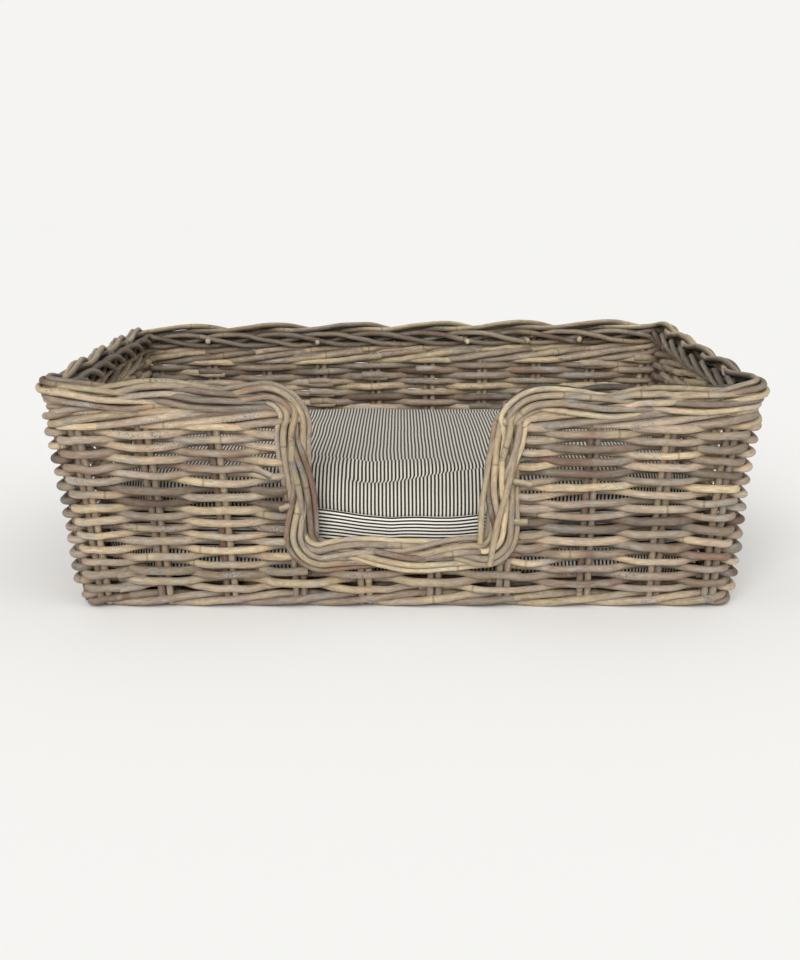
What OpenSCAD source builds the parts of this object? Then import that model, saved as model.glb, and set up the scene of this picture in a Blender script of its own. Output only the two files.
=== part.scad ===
// Wicker pet bed basket: a rectangular rattan basket with a scooped front and a loose ticking cushion.
// Millimetres, +Z up, origin on the floor under the middle of the basket, front (the scoop) towards -Y.

/* [Basket] */
// Width over the rim, left to right
rim_w = 800; // [700:10:900]
// Depth over the rim, front to back
rim_d = 600; // [500:10:700]
// Height from the floor to the top of the rim
height = 272; // [260:1:300]
// How far a wall leans out for each millimetre of height
taper = 0.064; // [0.05:0.002:0.07]

/* [Canes] */
// Diameter of a weaving cane
cane_d = 8.8; // [8:0.1:9]
// Diameter of an upright stake
stake_d = 8.5; // [7:0.1:8.5]
// Height from one row of weaving to the next
row_pitch = 7.9; // [7:0.1:9]
// Distance between neighbouring pairs of stakes at the floor
pair_pitch = 75.6; // [72:0.2:75.6]
// Pairs of stakes along the back wall
pairs_long = 10; // [8:2:10]
// Pairs of stakes along a side wall
pairs_short = 7; // [5:2:7]

/* [Bands] */
// Height of the foot band
foot_h = 19; // [16:1:22]
// Width of the foot band across the wall
foot_w = 24; // [22:1:26]
// Width and height of the plaited rim border
rim_band = 38; // [34:1:40]
// Height of the twisted band just under the rim
wale_h = 22; // [18:1:24]
// Thickness of the scoop's plaited border, through the wall
scoop_band_t = 28; // [24:1:30]

/* [Scoop] */
// Half width of the scoop at the middle of its border
scoop_half_w = 114; // [100:1:120]
// Height of the middle of the sill border
sill_z = 65; // [60:1:75]
// Radius of the border where it turns from the sill into an upright
scoop_low_r = 24; // [20:1:26]
// Radius of the border where an upright turns into the rim
scoop_high_r = 30; // [25:1:34]

/* [Cushion] */
// Width of the cushion
cushion_w = 696; // [640:2:700]
// Depth of the cushion
cushion_d = 500; // [440:2:504]
// Thickness of the filled cushion
cushion_t = 127; // [110:1:130]
// Height of the boxing strip between the two seams
boxing_h = 40; // [30:1:50]
// Roundness of the cushion's edges
cushion_r = 36; // [30:1:40]
// Thickness of a fabric cover
cover_t = 2; // [1:0.5:3]

/* [Zip] */
// Length of the zip in the back boxing
zip_len = 430; // [300:10:500]
// Height of the zip's tape
zip_tape_h = 24; // [20:1:30]
// Travel of the slider along the zip
zip_travel = 400; // [200:10:400]

/* [Hidden] */
$fn = 48;

gap = 0.3;                                // clearance left between neighbouring pieces
stake_gap = 1.1;                          // space between the two stakes of a pair
bore_d = stake_d + 0.3;                   // hole that a stake is pushed through
lean = atan(taper);                       // angle of a wall
layer = (cane_d + stake_d) / 2 - 0.15;    // from the stakes' middle to a weaver's middle
wall_t = 2 * layer + cane_d;              // thickness of a woven wall
core_t = 13;                              // solid middle of a woven wall
base_half_w = rim_w / 2 - wall_t / 2 - taper * height;  // middle of the side walls at the floor
base_half_d = rim_d / 2 - wall_t / 2 - taper * height;  // middle of the front and back walls there
corner_r = wall_t / 2 + 1;                // middle radius of a woven corner
fan = 1 + taper * height / base_half_w;   // how far the stakes spread from floor to rim

weave_lo = foot_h + 1.5;                  // woven wall starts just over the foot
rim_lo = height - rim_band;               // underside of the rim border
weave_hi = rim_lo - wale_h - 2.2;         // woven wall ends just under the waling
wale_lo = weave_hi + 0.7;
wale_hi = wale_lo + wale_h;
rim_half_w = rim_w / 2 - rim_band / 2;    // middle line of the rim border
rim_half_d = rim_d / 2 - rim_band / 2;
rim_corner_r = rim_band / 2 + 1;
rim_mid = height - rim_band / 2;

foot_half_w = base_half_w - 4.6;          // middle line of the foot band
foot_half_d = base_half_d - 4.6;
foot_corner_r = foot_w / 2 + 1;

scoop_band_w = rim_band;
scoop_out = scoop_half_w + scoop_band_w / 2;            // outer edge of the scoop's border
// the scoop's border follows the wall, one millimetre inside its middle
scoop_half_d = base_half_d - 1;
wale_end = scoop_out + 7;                 // the waling stops clear of the border's upper bend

base_mid = 15;                            // middle of the woven base
base_top = base_mid + wall_t / 2;
base_x = foot_half_w - foot_w / 2 - gap;  // half width of the woven base
base_y = foot_half_d - foot_w / 2 - gap;
base_stick_count = 9;

stake_lo = 4;                             // stakes start inside the foot
stake_hi = rim_lo - 0.6;                  // and end where their tips are bent over into the rim
sill_stake_hi = sill_z - scoop_band_w / 2 - 1.2;

cushion_z = base_top + gap;               // cushion rests on the base
seam_lo = cushion_z + (cushion_t - boxing_h) / 2 - 6;
seam_hi = seam_lo + boxing_h;
zip_z = (seam_lo + seam_hi) / 2;
zip_coil_d = 3;
zip_coil_y = zip_coil_d / 2 + 0.1;        // the coil stands clear of the boxing under its tape
slider_w = 14;                            // along the zip
slider_h = 9;
slider_t = 4.2;

straw = "#c9b186";
tan_cane = "#b3946c";
grey_cane = "#a99e8c";
dark_cane = "#8d7a66";
cloth = "#e9e3d6";
wadding = "#f4f1ea";
metal = "#a08a5c";

// ---- profiles ----

// Section through a woven wall: staggered canes on both faces of a solid core.
module weave_profile(lo, hi) {
    rows = floor((hi - lo - cane_d) / row_pitch) + 1;
    step = (hi - lo - cane_d) / (rows - 1);
    translate([-core_t / 2, lo]) square([core_t, hi - lo]);
    for (i = [0 : rows - 1])
        translate([(i % 2 == 0 ? 1 : -1) * layer, lo + cane_d / 2 + i * step]) circle(d = cane_d);
}

// Section through a plaited band: eight strands round a solid core, w wide and h high.
module plait_profile(w, h, strand = 10) {
    a = (w - strand) / 2;
    b = (h - strand) / 2;
    polygon([for (k = [0 : 7]) [a * cos(45 * k), b * sin(45 * k)]]);
    for (k = [0 : 7]) translate([a * cos(45 * k), b * sin(45 * k)]) circle(d = strand);
}

// Section through the foot: a flat underside with two canes on each face.
module foot_profile() {
    strand = foot_h / 2;
    translate([-(foot_w - strand) / 2, 0]) square([foot_w - strand, foot_h]);
    for (side = [-1, 1], row = [0, 1])
        translate([side * (foot_w - strand) / 2, strand * (row + 0.5)]) circle(d = strand);
}

// Carries a section (x across, y up) along X from x0 to x1.
module along_x(x0, x1) {
    translate([x0, 0, 0]) rotate([90, 0, 90]) linear_extrude(x1 - x0) children();
}

// ---- places ----

// Moves a piece built for the front wall's plane to the wall at a turn about Z, leaning outwards.
module leaning_wall(turn, half) {
    rotate([0, 0, turn]) translate([0, -half, 0]) rotate([lean, 0, 0]) children();
}

// The same without the lean, for level bands.
module level_wall(turn, half) {
    rotate([0, 0, turn]) translate([0, -half, 0]) children();
}

// Cuts off what lies past a slanted corner line: side is -1 or 1.
module past_corner(half, side) {
    translate([side * (half - corner_r - gap), 0, 0]) rotate([0, side * lean, 0])
        translate([side > 0 ? 0 : -200, -60, -60]) cube([200, 120, height + 120]);
}

// ---- stakes ----

function pair_places(count) = [for (i = [0 : count - 1]) (i - (count - 1) / 2) * pair_pitch];

// One pair of upright rods at x on the floor line, spreading with the taper.
module stake_pair(x, d, lo, hi) {
    splay = atan(x * (fan - 1) / height);
    for (side = [-1, 1])
        translate([x + side * (stake_d + stake_gap) / 2, 0, 0])
            rotate([0, splay, 0]) translate([0, 0, lo]) cylinder(d = d, h = hi - lo);
}

module stakes(places, hi = stake_hi) {
    for (x = places) stake_pair(x, stake_d, stake_lo, hi);
}

module stake_bores(places, lo, hi) {
    for (x = places) stake_pair(x, bore_d, lo, hi);
}

long_places = pair_places(pairs_long);
short_places = pair_places(pairs_short);
left_places = [for (x = long_places) if (x < -scoop_out - 10) x];
right_places = [for (x = long_places) if (x > scoop_out + 10) x];
sill_places = [for (x = long_places) if (abs(x) < scoop_out) x];

// ---- woven walls ----

// A woven panel between x0 and x1, cut along the corner lines and bored for its stakes.
module weave_panel(x0, x1, lo, hi, half, places) {
    difference() {
        along_x(x0, x1) weave_profile(lo, hi);
        past_corner(half, -1);
        past_corner(half, 1);
        stake_bores(places, lo - 2, hi + 2);
    }
}

// The twisted band on top of a panel.
module wale_bar(x0, x1, half, places) {
    difference() {
        along_x(x0, x1) translate([0, (wale_lo + wale_hi) / 2]) plait_profile(wall_t + 1, wale_h, 9);
        past_corner(half, -1);
        past_corner(half, 1);
        stake_bores(places, wale_lo - 2, wale_hi + 2);
    }
}

// A woven corner: the wall's section turned about the slanted corner line.
module corner_weave(sx, sy) {
    translate([sx * (base_half_w - corner_r), sy * (base_half_d - corner_r), 0])
        rotate(a = atan(taper * sqrt(2)), v = [-sy, sx, 0])
            rotate([0, 0, atan2(sy, sx) - 45])
                rotate_extrude(angle = 90)
                    translate([corner_r, 0]) weave_profile(weave_lo + 3, wale_hi);
}

// ---- level bands ----

module foot_bar(turn, half, length, places) {
    difference() {
        level_wall(turn, half) along_x(-length / 2, length / 2) foot_profile();
        leaning_wall(turn, half + 4.6) stake_bores(places, stake_lo - 0.5, foot_h + 5);
    }
}

module rim_bar(turn, half, x0, x1) {
    level_wall(turn, half) translate([0, 0, rim_mid]) along_x(x0, x1)
        plait_profile(rim_band, rim_band);
}

// Four level corner pieces: a band's section turned a quarter round each corner.
module level_corners(half_w, half_d, r, z) {
    for (sx = [-1, 1], sy = [-1, 1])
        translate([sx * (half_w - r), sy * (half_d - r), z])
            rotate([0, 0, atan2(sy, sx) - 45])
                rotate_extrude(angle = 90) translate([r, 0]) children();
}

// ---- scoop border ----

// A quarter turn of the scoop's border in the wall's plane, about (x, z), from angle start.
module scoop_bend(x, z, r, start) {
    translate([x, 0, z]) rotate([90, 0, 0]) rotate([0, 0, start])
        rotate_extrude(angle = 90) translate([r, 0]) plait_profile(scoop_band_w, scoop_band_t);
}

// One upright with the bend that joins it to the rim and the bend that joins it to the sill.
module scoop_upright(side) {
    low = sill_z + scoop_low_r;
    high = rim_mid - scoop_high_r;
    leaning_wall(0, scoop_half_d) {
        translate([side * scoop_half_w, 0, low]) linear_extrude(high - low)
            plait_profile(scoop_band_w, scoop_band_t);
        scoop_bend(side * (scoop_half_w + scoop_high_r), high, scoop_high_r, side > 0 ? 90 : 0);
        scoop_bend(side * (scoop_half_w - scoop_low_r), low, scoop_low_r, side > 0 ? 270 : 180);
    }
}

// ---- cushion ----

// A centred rectangle with round corners.
module round_rect(w, h, r) {
    square([w - 2 * r, h], center = true);
    square([w, h - 2 * r], center = true);
    for (x = [-1, 1], y = [-1, 1]) translate([x * (w / 2 - r), y * (h / 2 - r)]) circle(r);
}

// The filled cushion's outline, shrunk by inset all round: three rounded extrusions, crossed.
module cushion_body(inset) {
    w = cushion_w - 2 * inset;
    d = cushion_d - 2 * inset;
    t = cushion_t - 2 * inset;
    r = cushion_r - inset;
    translate([0, 0, cushion_z + cushion_t / 2]) intersection() {
        linear_extrude(t, center = true) round_rect(w, d, r);
        rotate([90, 0, 0]) linear_extrude(rim_d, center = true) round_rect(w, t, r);
        rotate([90, 0, 90]) linear_extrude(rim_w, center = true) round_rect(d, t, r);
    }
}

// A slab across the whole cushion between two heights.
module cushion_slab(lo, hi) {
    translate([-rim_w / 2, -rim_d / 2, lo]) cube([rim_w, rim_d, hi - lo]);
}

// The part of the cover between two heights.
module cover_between(lo, hi) {
    intersection() {
        difference() {
            cushion_body(0);
            cushion_body(cover_t);
        }
        cushion_slab(lo, hi);
    }
}

// ---- sub-parts ----

module base_sticks() {
    color(tan_cane)
        for (i = [0 : base_stick_count - 1])
            translate([(i - (base_stick_count - 1) / 2) * pair_pitch, -base_y + 3, base_mid])
                rotate([-90, 0, 0]) cylinder(d = stake_d, h = 2 * base_y - 6);
}

module base_weave() {
    color(dark_cane) difference() {
        translate([0, 0, base_mid]) rotate([90, 0, 90]) translate([0, 0, -base_x])
            linear_extrude(2 * base_x) rotate([0, 0, 90]) weave_profile(-base_y, base_y);
        for (i = [0 : base_stick_count - 1])
            translate([(i - (base_stick_count - 1) / 2) * pair_pitch, -base_y + 2.8, base_mid])
                rotate([-90, 0, 0]) cylinder(d = bore_d, h = 2 * base_y - 5.6);
    }
}

foot_len_w = 2 * (foot_half_w - foot_corner_r) - 2 * gap;
foot_len_d = 2 * (foot_half_d - foot_corner_r) - 2 * gap;

module foot_front() { color(straw) foot_bar(0, foot_half_d, foot_len_w, long_places); }
module foot_right() { color(straw) foot_bar(90, foot_half_w, foot_len_d, short_places); }
module foot_back() { color(straw) foot_bar(180, foot_half_d, foot_len_w, long_places); }
module foot_left() { color(straw) foot_bar(270, foot_half_w, foot_len_d, short_places); }
module foot_corners() {
    color(straw) level_corners(foot_half_w, foot_half_d, foot_corner_r, 0) foot_profile();
}

module stakes_front_left() { color(tan_cane) leaning_wall(0, base_half_d) stakes(left_places); }
module stakes_front_right() { color(tan_cane) leaning_wall(0, base_half_d) stakes(right_places); }
module stakes_front_sill() {
    color(tan_cane) leaning_wall(0, base_half_d) stakes(sill_places, sill_stake_hi);
}
module stakes_back() { color(tan_cane) leaning_wall(180, base_half_d) stakes(long_places); }
module stakes_left() { color(tan_cane) leaning_wall(270, base_half_w) stakes(short_places); }
module stakes_right() { color(tan_cane) leaning_wall(90, base_half_w) stakes(short_places); }

module weave_front_left() {
    color(grey_cane) leaning_wall(0, base_half_d)
        weave_panel(-rim_w / 2, -scoop_out - gap, weave_lo, weave_hi, base_half_w, left_places);
}
module weave_front_right() {
    color(grey_cane) leaning_wall(0, base_half_d)
        weave_panel(scoop_out + gap, rim_w / 2, weave_lo, weave_hi, base_half_w, right_places);
}
module weave_front_sill() {
    color(grey_cane) leaning_wall(0, base_half_d)
        weave_panel(-scoop_out, scoop_out, weave_lo, sill_stake_hi, base_half_w, sill_places);
}
module weave_back() {
    color(grey_cane) leaning_wall(180, base_half_d)
        weave_panel(-rim_w / 2, rim_w / 2, weave_lo, weave_hi, base_half_w, long_places);
}
module weave_left() {
    color(grey_cane) leaning_wall(270, base_half_w)
        weave_panel(-rim_d / 2, rim_d / 2, weave_lo, weave_hi, base_half_d, short_places);
}
module weave_right() {
    color(grey_cane) leaning_wall(90, base_half_w)
        weave_panel(-rim_d / 2, rim_d / 2, weave_lo, weave_hi, base_half_d, short_places);
}
module weave_corner_front_left() { color(grey_cane) corner_weave(-1, -1); }
module weave_corner_front_right() { color(grey_cane) corner_weave(1, -1); }
module weave_corner_back_left() { color(grey_cane) corner_weave(-1, 1); }
module weave_corner_back_right() { color(grey_cane) corner_weave(1, 1); }

module wale_front_left() {
    color(straw) leaning_wall(0, base_half_d)
        wale_bar(-rim_w / 2, -wale_end, base_half_w, left_places);
}
module wale_front_right() {
    color(straw) leaning_wall(0, base_half_d)
        wale_bar(wale_end, rim_w / 2, base_half_w, right_places);
}
module wale_back() {
    color(straw) leaning_wall(180, base_half_d)
        wale_bar(-rim_w / 2, rim_w / 2, base_half_w, long_places);
}
module wale_left() {
    color(straw) leaning_wall(270, base_half_w)
        wale_bar(-rim_d / 2, rim_d / 2, base_half_d, short_places);
}
module wale_right() {
    color(straw) leaning_wall(90, base_half_w)
        wale_bar(-rim_d / 2, rim_d / 2, base_half_d, short_places);
}

rim_end_w = rim_half_w - rim_corner_r;
rim_end_d = rim_half_d - rim_corner_r;
rim_scoop = scoop_half_w + scoop_high_r + gap;

module rim_front_left() {
    color(straw) rim_bar(0, rim_half_d, -rim_end_w, -rim_scoop);
}
module rim_front_right() {
    color(straw) rim_bar(0, rim_half_d, rim_scoop, rim_end_w);
}
module rim_back() {
    color(straw) rim_bar(180, rim_half_d, -rim_end_w, rim_end_w);
}
module rim_left() {
    color(straw) rim_bar(270, rim_half_w, -rim_end_d, rim_end_d);
}
module rim_right() {
    color(straw) rim_bar(90, rim_half_w, -rim_end_d, rim_end_d);
}
module rim_corners() {
    color(straw) level_corners(rim_half_w, rim_half_d, rim_corner_r, rim_mid)
        plait_profile(rim_band, rim_band);
}

module scoop_left() { color(straw) scoop_upright(-1); }
module scoop_right() { color(straw) scoop_upright(1); }
module scoop_sill() {
    end = scoop_half_w - scoop_low_r;
    color(straw) leaning_wall(0, scoop_half_d) translate([0, 0, sill_z])
        along_x(-end, end) plait_profile(scoop_band_t, scoop_band_w);
}

module cushion_filling() { color(wadding) cushion_body(cover_t + 0.2); }
module cushion_top_cover() { color(cloth) cover_between(seam_hi, height); }
module cushion_boxing() { color(cloth) cover_between(seam_lo, seam_hi); }
module cushion_bottom_cover() { color(cloth) cover_between(0, seam_lo); }

module zip_tape() {
    color(wadding) translate([-zip_len / 2, cushion_d / 2, zip_z]) {
        translate([0, 0, -zip_tape_h / 2]) cube([zip_len, 1.2, zip_tape_h]);
        translate([0, zip_coil_y, 0]) rotate([0, 90, 0]) cylinder(d = zip_coil_d, h = zip_len);
    }
}

// The slider straddles the coil and carries a small pull tab on its back.
module zip_slider() {
    start = -zip_travel / 2;
    face = cushion_d / 2 + 1.2 + gap;
    color(metal) translate([start, face, zip_z]) {
        difference() {
            translate([-slider_w / 2, 0, -slider_h / 2]) cube([slider_w, slider_t, slider_h]);
            translate([-slider_w, zip_coil_y - 1.2 - gap, 0]) rotate([0, 90, 0])
                cylinder(d = zip_coil_d + 2 * gap, h = 2 * slider_w);
        }
        translate([-3, slider_t, -2]) cube([6, 1.2, 4]);
        translate([0, slider_t, -2]) rotate([-90, 0, 0]) translate([-3, 0, 0]) cube([6, 18, 1.2]);
    }
}

base_sticks();
base_weave();
foot_front();
foot_back();
foot_left();
foot_right();
foot_corners();
stakes_front_left();
stakes_front_sill();
stakes_front_right();
stakes_back();
stakes_left();
stakes_right();
weave_front_left();
weave_front_sill();
weave_front_right();
weave_back();
weave_left();
weave_right();
weave_corner_front_left();
weave_corner_front_right();
weave_corner_back_left();
weave_corner_back_right();
wale_front_left();
wale_front_right();
wale_back();
wale_left();
wale_right();
rim_front_left();
rim_front_right();
rim_back();
rim_left();
rim_right();
rim_corners();
scoop_left();
scoop_right();
scoop_sill();
cushion_filling();
cushion_top_cover();
cushion_boxing();
cushion_bottom_cover();
zip_tape();
zip_slider();
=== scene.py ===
"""Looks of a wicker pet bed basket: rattan woven round stakes, plaited bands and a ticking cushion.

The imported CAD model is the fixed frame. Every woven wall, band and soft part of it is replaced here by
pieces made from single canes and sewn cloth. All lengths are metres; MM turns millimetres into them.
"""

from __future__ import annotations

import logging
import math
from dataclasses import dataclass, field, replace
from enum import Enum

import bpy
import mathutils
import numpy as np
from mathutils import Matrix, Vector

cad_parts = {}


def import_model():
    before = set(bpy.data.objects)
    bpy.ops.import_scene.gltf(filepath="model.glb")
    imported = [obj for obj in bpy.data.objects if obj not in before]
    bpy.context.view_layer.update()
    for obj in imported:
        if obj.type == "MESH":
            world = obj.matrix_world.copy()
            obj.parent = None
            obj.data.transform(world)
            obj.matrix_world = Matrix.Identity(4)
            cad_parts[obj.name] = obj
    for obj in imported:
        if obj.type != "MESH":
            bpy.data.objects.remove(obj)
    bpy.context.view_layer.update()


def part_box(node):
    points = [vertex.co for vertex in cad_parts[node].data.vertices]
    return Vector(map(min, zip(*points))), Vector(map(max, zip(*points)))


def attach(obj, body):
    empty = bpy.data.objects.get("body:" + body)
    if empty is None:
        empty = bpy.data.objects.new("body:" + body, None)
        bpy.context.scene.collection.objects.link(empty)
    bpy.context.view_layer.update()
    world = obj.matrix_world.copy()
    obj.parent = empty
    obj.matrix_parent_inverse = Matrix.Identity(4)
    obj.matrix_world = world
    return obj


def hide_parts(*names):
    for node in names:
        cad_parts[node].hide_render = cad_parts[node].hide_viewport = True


LOG = logging.getLogger("basket")
MM = 0.001
UP = np.array([0.0, 0.0, 1.0])
X_AXIS = np.array([1.0, 0.0, 0.0])
Y_AXIS = np.array([0.0, 1.0, 0.0])
TURN = 2 * math.pi
PHASE = 6.28  # random phases are drawn between 0 and this
WALLS = ("front_left", "front_sill", "front_right", "right", "back", "left")
OVER = {"data_type": "RGBA"}
MULTIPLY = {"data_type": "RGBA", "blend_type": "MULTIPLY"}


# ---------------------------------------------------------------- small helpers


def srgb(code: str) -> tuple[float, float, float, float]:
    """Turns an sRGB hex colour into linear light.

    Args:
        code: six hex digits, such as "d8c49a".

    Returns:
        Red, green and blue in linear light, and an alpha of one.
    """
    values = np.array([int(code[i : i + 2], 16) for i in (0, 2, 4)]) / 255.0
    linear = np.where(values <= 0.04045, values / 12.92, ((values + 0.055) / 1.055) ** 2.4)
    return (*linear.tolist(), 1.0)


def unit(vectors: np.ndarray) -> np.ndarray:
    """Scales each row of vectors to length one."""
    return vectors / np.maximum(np.linalg.norm(vectors, axis=-1, keepdims=True), 1e-12)


def smoothstep(x: np.ndarray, low: float, high: float) -> np.ndarray:
    """Rises smoothly from 0 at low to 1 at high."""
    t = np.clip((x - low) / (high - low), 0.0, 1.0)
    return t * t * (3.0 - 2.0 * t)


def lengths_along(path: np.ndarray) -> np.ndarray:
    """Distance along a path from its first point to each of its points."""
    return np.concatenate([[0.0], np.cumsum(np.linalg.norm(np.diff(path, axis=0), axis=1))])


def connect(tree: bpy.types.NodeTree, node: bpy.types.Node, **inputs: object) -> None:
    """Fills or links a node's inputs, each by its name with _ for a space, or by in_0, in_1."""
    for name, value in inputs.items():
        key = int(name[3:]) if name.startswith("in_") else name.replace("_", " ")
        if isinstance(value, bpy.types.NodeSocket):
            tree.links.new(value, node.inputs[key])
        else:
            node.inputs[key].default_value = value


def add_node(
    tree: bpy.types.NodeTree, kind: str, sets: dict | None = None, stops: tuple = (), **inputs: object
) -> bpy.types.NodeSocket:
    """Adds a shader node, sets its options and fills or links its inputs.

    Args:
        tree: the node tree that the node goes into.
        kind: the node's type, without the leading ShaderNode.
        sets: options of the node, by attribute name.
        stops: places and sRGB colours of a colour ramp.
        inputs: a value or a socket for each input, by its name with _ for a space, or by in_0, in_1.

    Returns:
        The node's first output that is switched on; the node itself is its .node.
    """
    node = tree.nodes.new("ShaderNode" + kind)
    for name, value in (sets or {}).items():
        setattr(node, name, value)
    for index, (place, code) in enumerate(stops):
        element = node.color_ramp.elements[index] if index < 2 else node.color_ramp.elements.new(place)
        element.position, element.color = place, srgb(code)
    connect(tree, node, **inputs)
    return next((output for output in node.outputs if output.enabled), None)


def new_material(name: str) -> tuple[bpy.types.Material, bpy.types.NodeTree, bpy.types.Node]:
    """Makes an empty node material and returns it with its tree and its Principled shader."""
    material = bpy.data.materials.new(name)
    material.use_nodes = True
    tree = material.node_tree
    return material, tree, tree.nodes["Principled BSDF"]


# ---------------------------------------------------------------- canes


@dataclass
class Cane:
    """One rattan cane: the line it follows, its thickness there, and how it is coloured."""

    path: np.ndarray
    radius: np.ndarray
    face: np.ndarray
    tone: float
    value: float
    spots: float
    seed: float


@dataclass
class CaneBundle:
    """Canes that belong to one piece, turned into one mesh of closed tubes."""

    name: str
    sides: int = 12
    canes: list[Cane] = field(default_factory=list)
    tip_reach: float = 0.22
    tip_radius: float = 0.78
    tip_dome: float = 0.1 * MM

    def tube(self, cane: Cane) -> tuple[np.ndarray, np.ndarray, np.ndarray, np.ndarray]:
        """Carries a circle along a cane's line and rounds off its two cut ends.

        A ring is path + radius * (cos a * side + sin a * face), where side is face, made square to
        the tangent, crossed with the tangent. Each end gets a smaller ring, tip_radius times as wide and
        tip_reach radii further on, and then a middle point.

        Args:
            cane: the cane to carry the circle along.

        Returns:
            Vertices, quads, cap triangles, and the length along the cane at each vertex.
        """
        tangent = unit(np.gradient(cane.path, axis=0))
        before = cane.path[0] - tangent[0] * cane.radius[0] * self.tip_reach
        after = cane.path[-1] + tangent[-1] * cane.radius[-1] * self.tip_reach
        path = np.vstack([before, cane.path, after])
        narrow = cane.radius[[0, -1]] * self.tip_radius
        radius = np.concatenate([narrow[:1], cane.radius, narrow[1:]])
        face = np.vstack([cane.face[:1], cane.face, cane.face[-1:]])
        tangent = np.vstack([tangent[:1], tangent, tangent[-1:]])
        face = unit(face - np.sum(face * tangent, axis=1, keepdims=True) * tangent)
        side = np.cross(face, tangent)
        angle = np.arange(self.sides) * 2.0 * math.pi / self.sides - math.pi / 2.0
        ring = np.cos(angle)[None, :, None] * side[:, None] + np.sin(angle)[None, :, None] * face[:, None]
        body = path[:, None] + radius[:, None, None] * ring
        count = len(path)
        length = lengths_along(path)
        tips = [path[0] - tangent[0] * self.tip_dome, path[-1] + tangent[-1] * self.tip_dome]
        vertices = np.vstack([body.reshape(-1, 3), *tips])
        index = np.arange(count * self.sides).reshape(count, self.sides)
        turned = np.roll(index, -1, axis=1)
        quads = np.stack([index[:-1], turned[:-1], turned[1:], index[1:]], axis=-1).reshape(-1, 4)
        tip = np.full(self.sides, count * self.sides)
        first = np.stack([tip, turned[0], index[0]], axis=-1)
        last = np.stack([tip + 1, index[-1], turned[-1]], axis=-1)
        along = np.concatenate([np.repeat(length, self.sides), [0.0, length[-1]]])
        return vertices, quads, np.vstack([first, last]), along

    def build(self, material: bpy.types.Material) -> bpy.types.Object:
        """Joins the canes into one smooth mesh with a UV map round and along each cane.

        Args:
            material: the finish of the canes.

        Returns:
            The new object, which still has to ride on a body.
        """
        vertices, quads, caps, along, values = [], [], [], [], []
        base = 0
        for cane in self.canes:
            points, four, three, length = self.tube(cane)
            vertices.append(points)
            quads.append(four + base)
            caps.append(three + base)
            along.append(length)
            values.append(np.tile([cane.tone, cane.value, cane.spots, cane.seed], (len(points), 1)))
            base += len(points)
        quad = np.vstack(quads)
        cap = np.vstack(caps)
        return make_mesh(
            self.name,
            np.vstack(vertices),
            [quad, cap],
            material,
            [self.ring_uv(quad, np.concatenate(along)), self.cap_uv(cap, np.concatenate(along))],
            {"cane": np.vstack(values)},
        )

    def ring_uv(self, quads: np.ndarray, along: np.ndarray) -> np.ndarray:
        """UVs of the tube faces: the share of the way round, and the length in metres."""
        corner = np.arange(len(quads)) % self.sides
        round_share = np.stack([corner, corner + 1, corner + 1, corner], axis=-1) / self.sides
        return np.stack([round_share, along[quads]], axis=-1)

    def cap_uv(self, caps: np.ndarray, along: np.ndarray) -> np.ndarray:
        """UVs of the cut ends: a small patch at the cane's end."""
        fan = np.tile([0.5, 0.45, 0.55], (len(caps), 1))
        return np.stack([fan, along[caps]], axis=-1)


def make_mesh(
    name: str,
    vertices: np.ndarray,
    face_sets: list[np.ndarray],
    material: bpy.types.Material | None,
    uv_sets: list[np.ndarray] | None = None,
    attributes: dict[str, np.ndarray] | None = None,
) -> bpy.types.Object:
    """Makes a mesh object at the origin from whole arrays.

    Args:
        name: the object's name.
        vertices: one row for each vertex.
        face_sets: arrays of faces, each with one row for each face.
        material: the finish.
        uv_sets: UVs of every face corner, one array for each face set.
        attributes: four values for each vertex, by name.

    Returns:
        The linked object.
    """
    mesh = bpy.data.meshes.new(name)
    corners = np.concatenate([faces.reshape(-1) for faces in face_sets]).astype(np.int32)
    sizes = np.concatenate([np.full(len(faces), faces.shape[1]) for faces in face_sets])
    starts = np.concatenate([[0], np.cumsum(sizes)[:-1]]).astype(np.int32)
    mesh.vertices.add(len(vertices))
    mesh.vertices.foreach_set("co", vertices.astype(np.float32).reshape(-1))
    mesh.loops.add(len(corners))
    mesh.loops.foreach_set("vertex_index", corners)
    mesh.polygons.add(len(starts))
    mesh.polygons.foreach_set("loop_start", starts)
    mesh.update(calc_edges=True)
    if uv_sets:
        layer = mesh.uv_layers.new(name="surface")
        flat = np.concatenate([uv.reshape(-1, 2) for uv in uv_sets]).astype(np.float32)
        layer.uv.foreach_set("vector", flat.reshape(-1))
    for key, values in (attributes or {}).items():
        attribute = mesh.attributes.new(key, "FLOAT_COLOR", "POINT")
        attribute.data.foreach_set("color", values.astype(np.float32).reshape(-1))
    mesh.validate()
    mesh.shade_smooth()
    if material:
        mesh.materials.append(material)
    thing = bpy.data.objects.new(name, mesh)
    bpy.context.scene.collection.objects.link(thing)
    return thing


class Palette(Enum):
    """How the canes of a band are mixed: the lowest and highest tone, brightness and share with specks."""

    WALL = (0.12, 0.90, 0.78, 1.08, 0.26)
    BORDER = (0.10, 0.92, 0.64, 1.05, 0.45)
    # Darker tones and a low brightness: painted shade for canes inside the basket, behind the band and under
    # the cushion.
    SHADED_INSIDE = (0.36, 0.98, 0.53, 0.75, 0.20)
    STAKE = (0.40, 0.98, 0.80, 1.02, 0.10)


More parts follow.
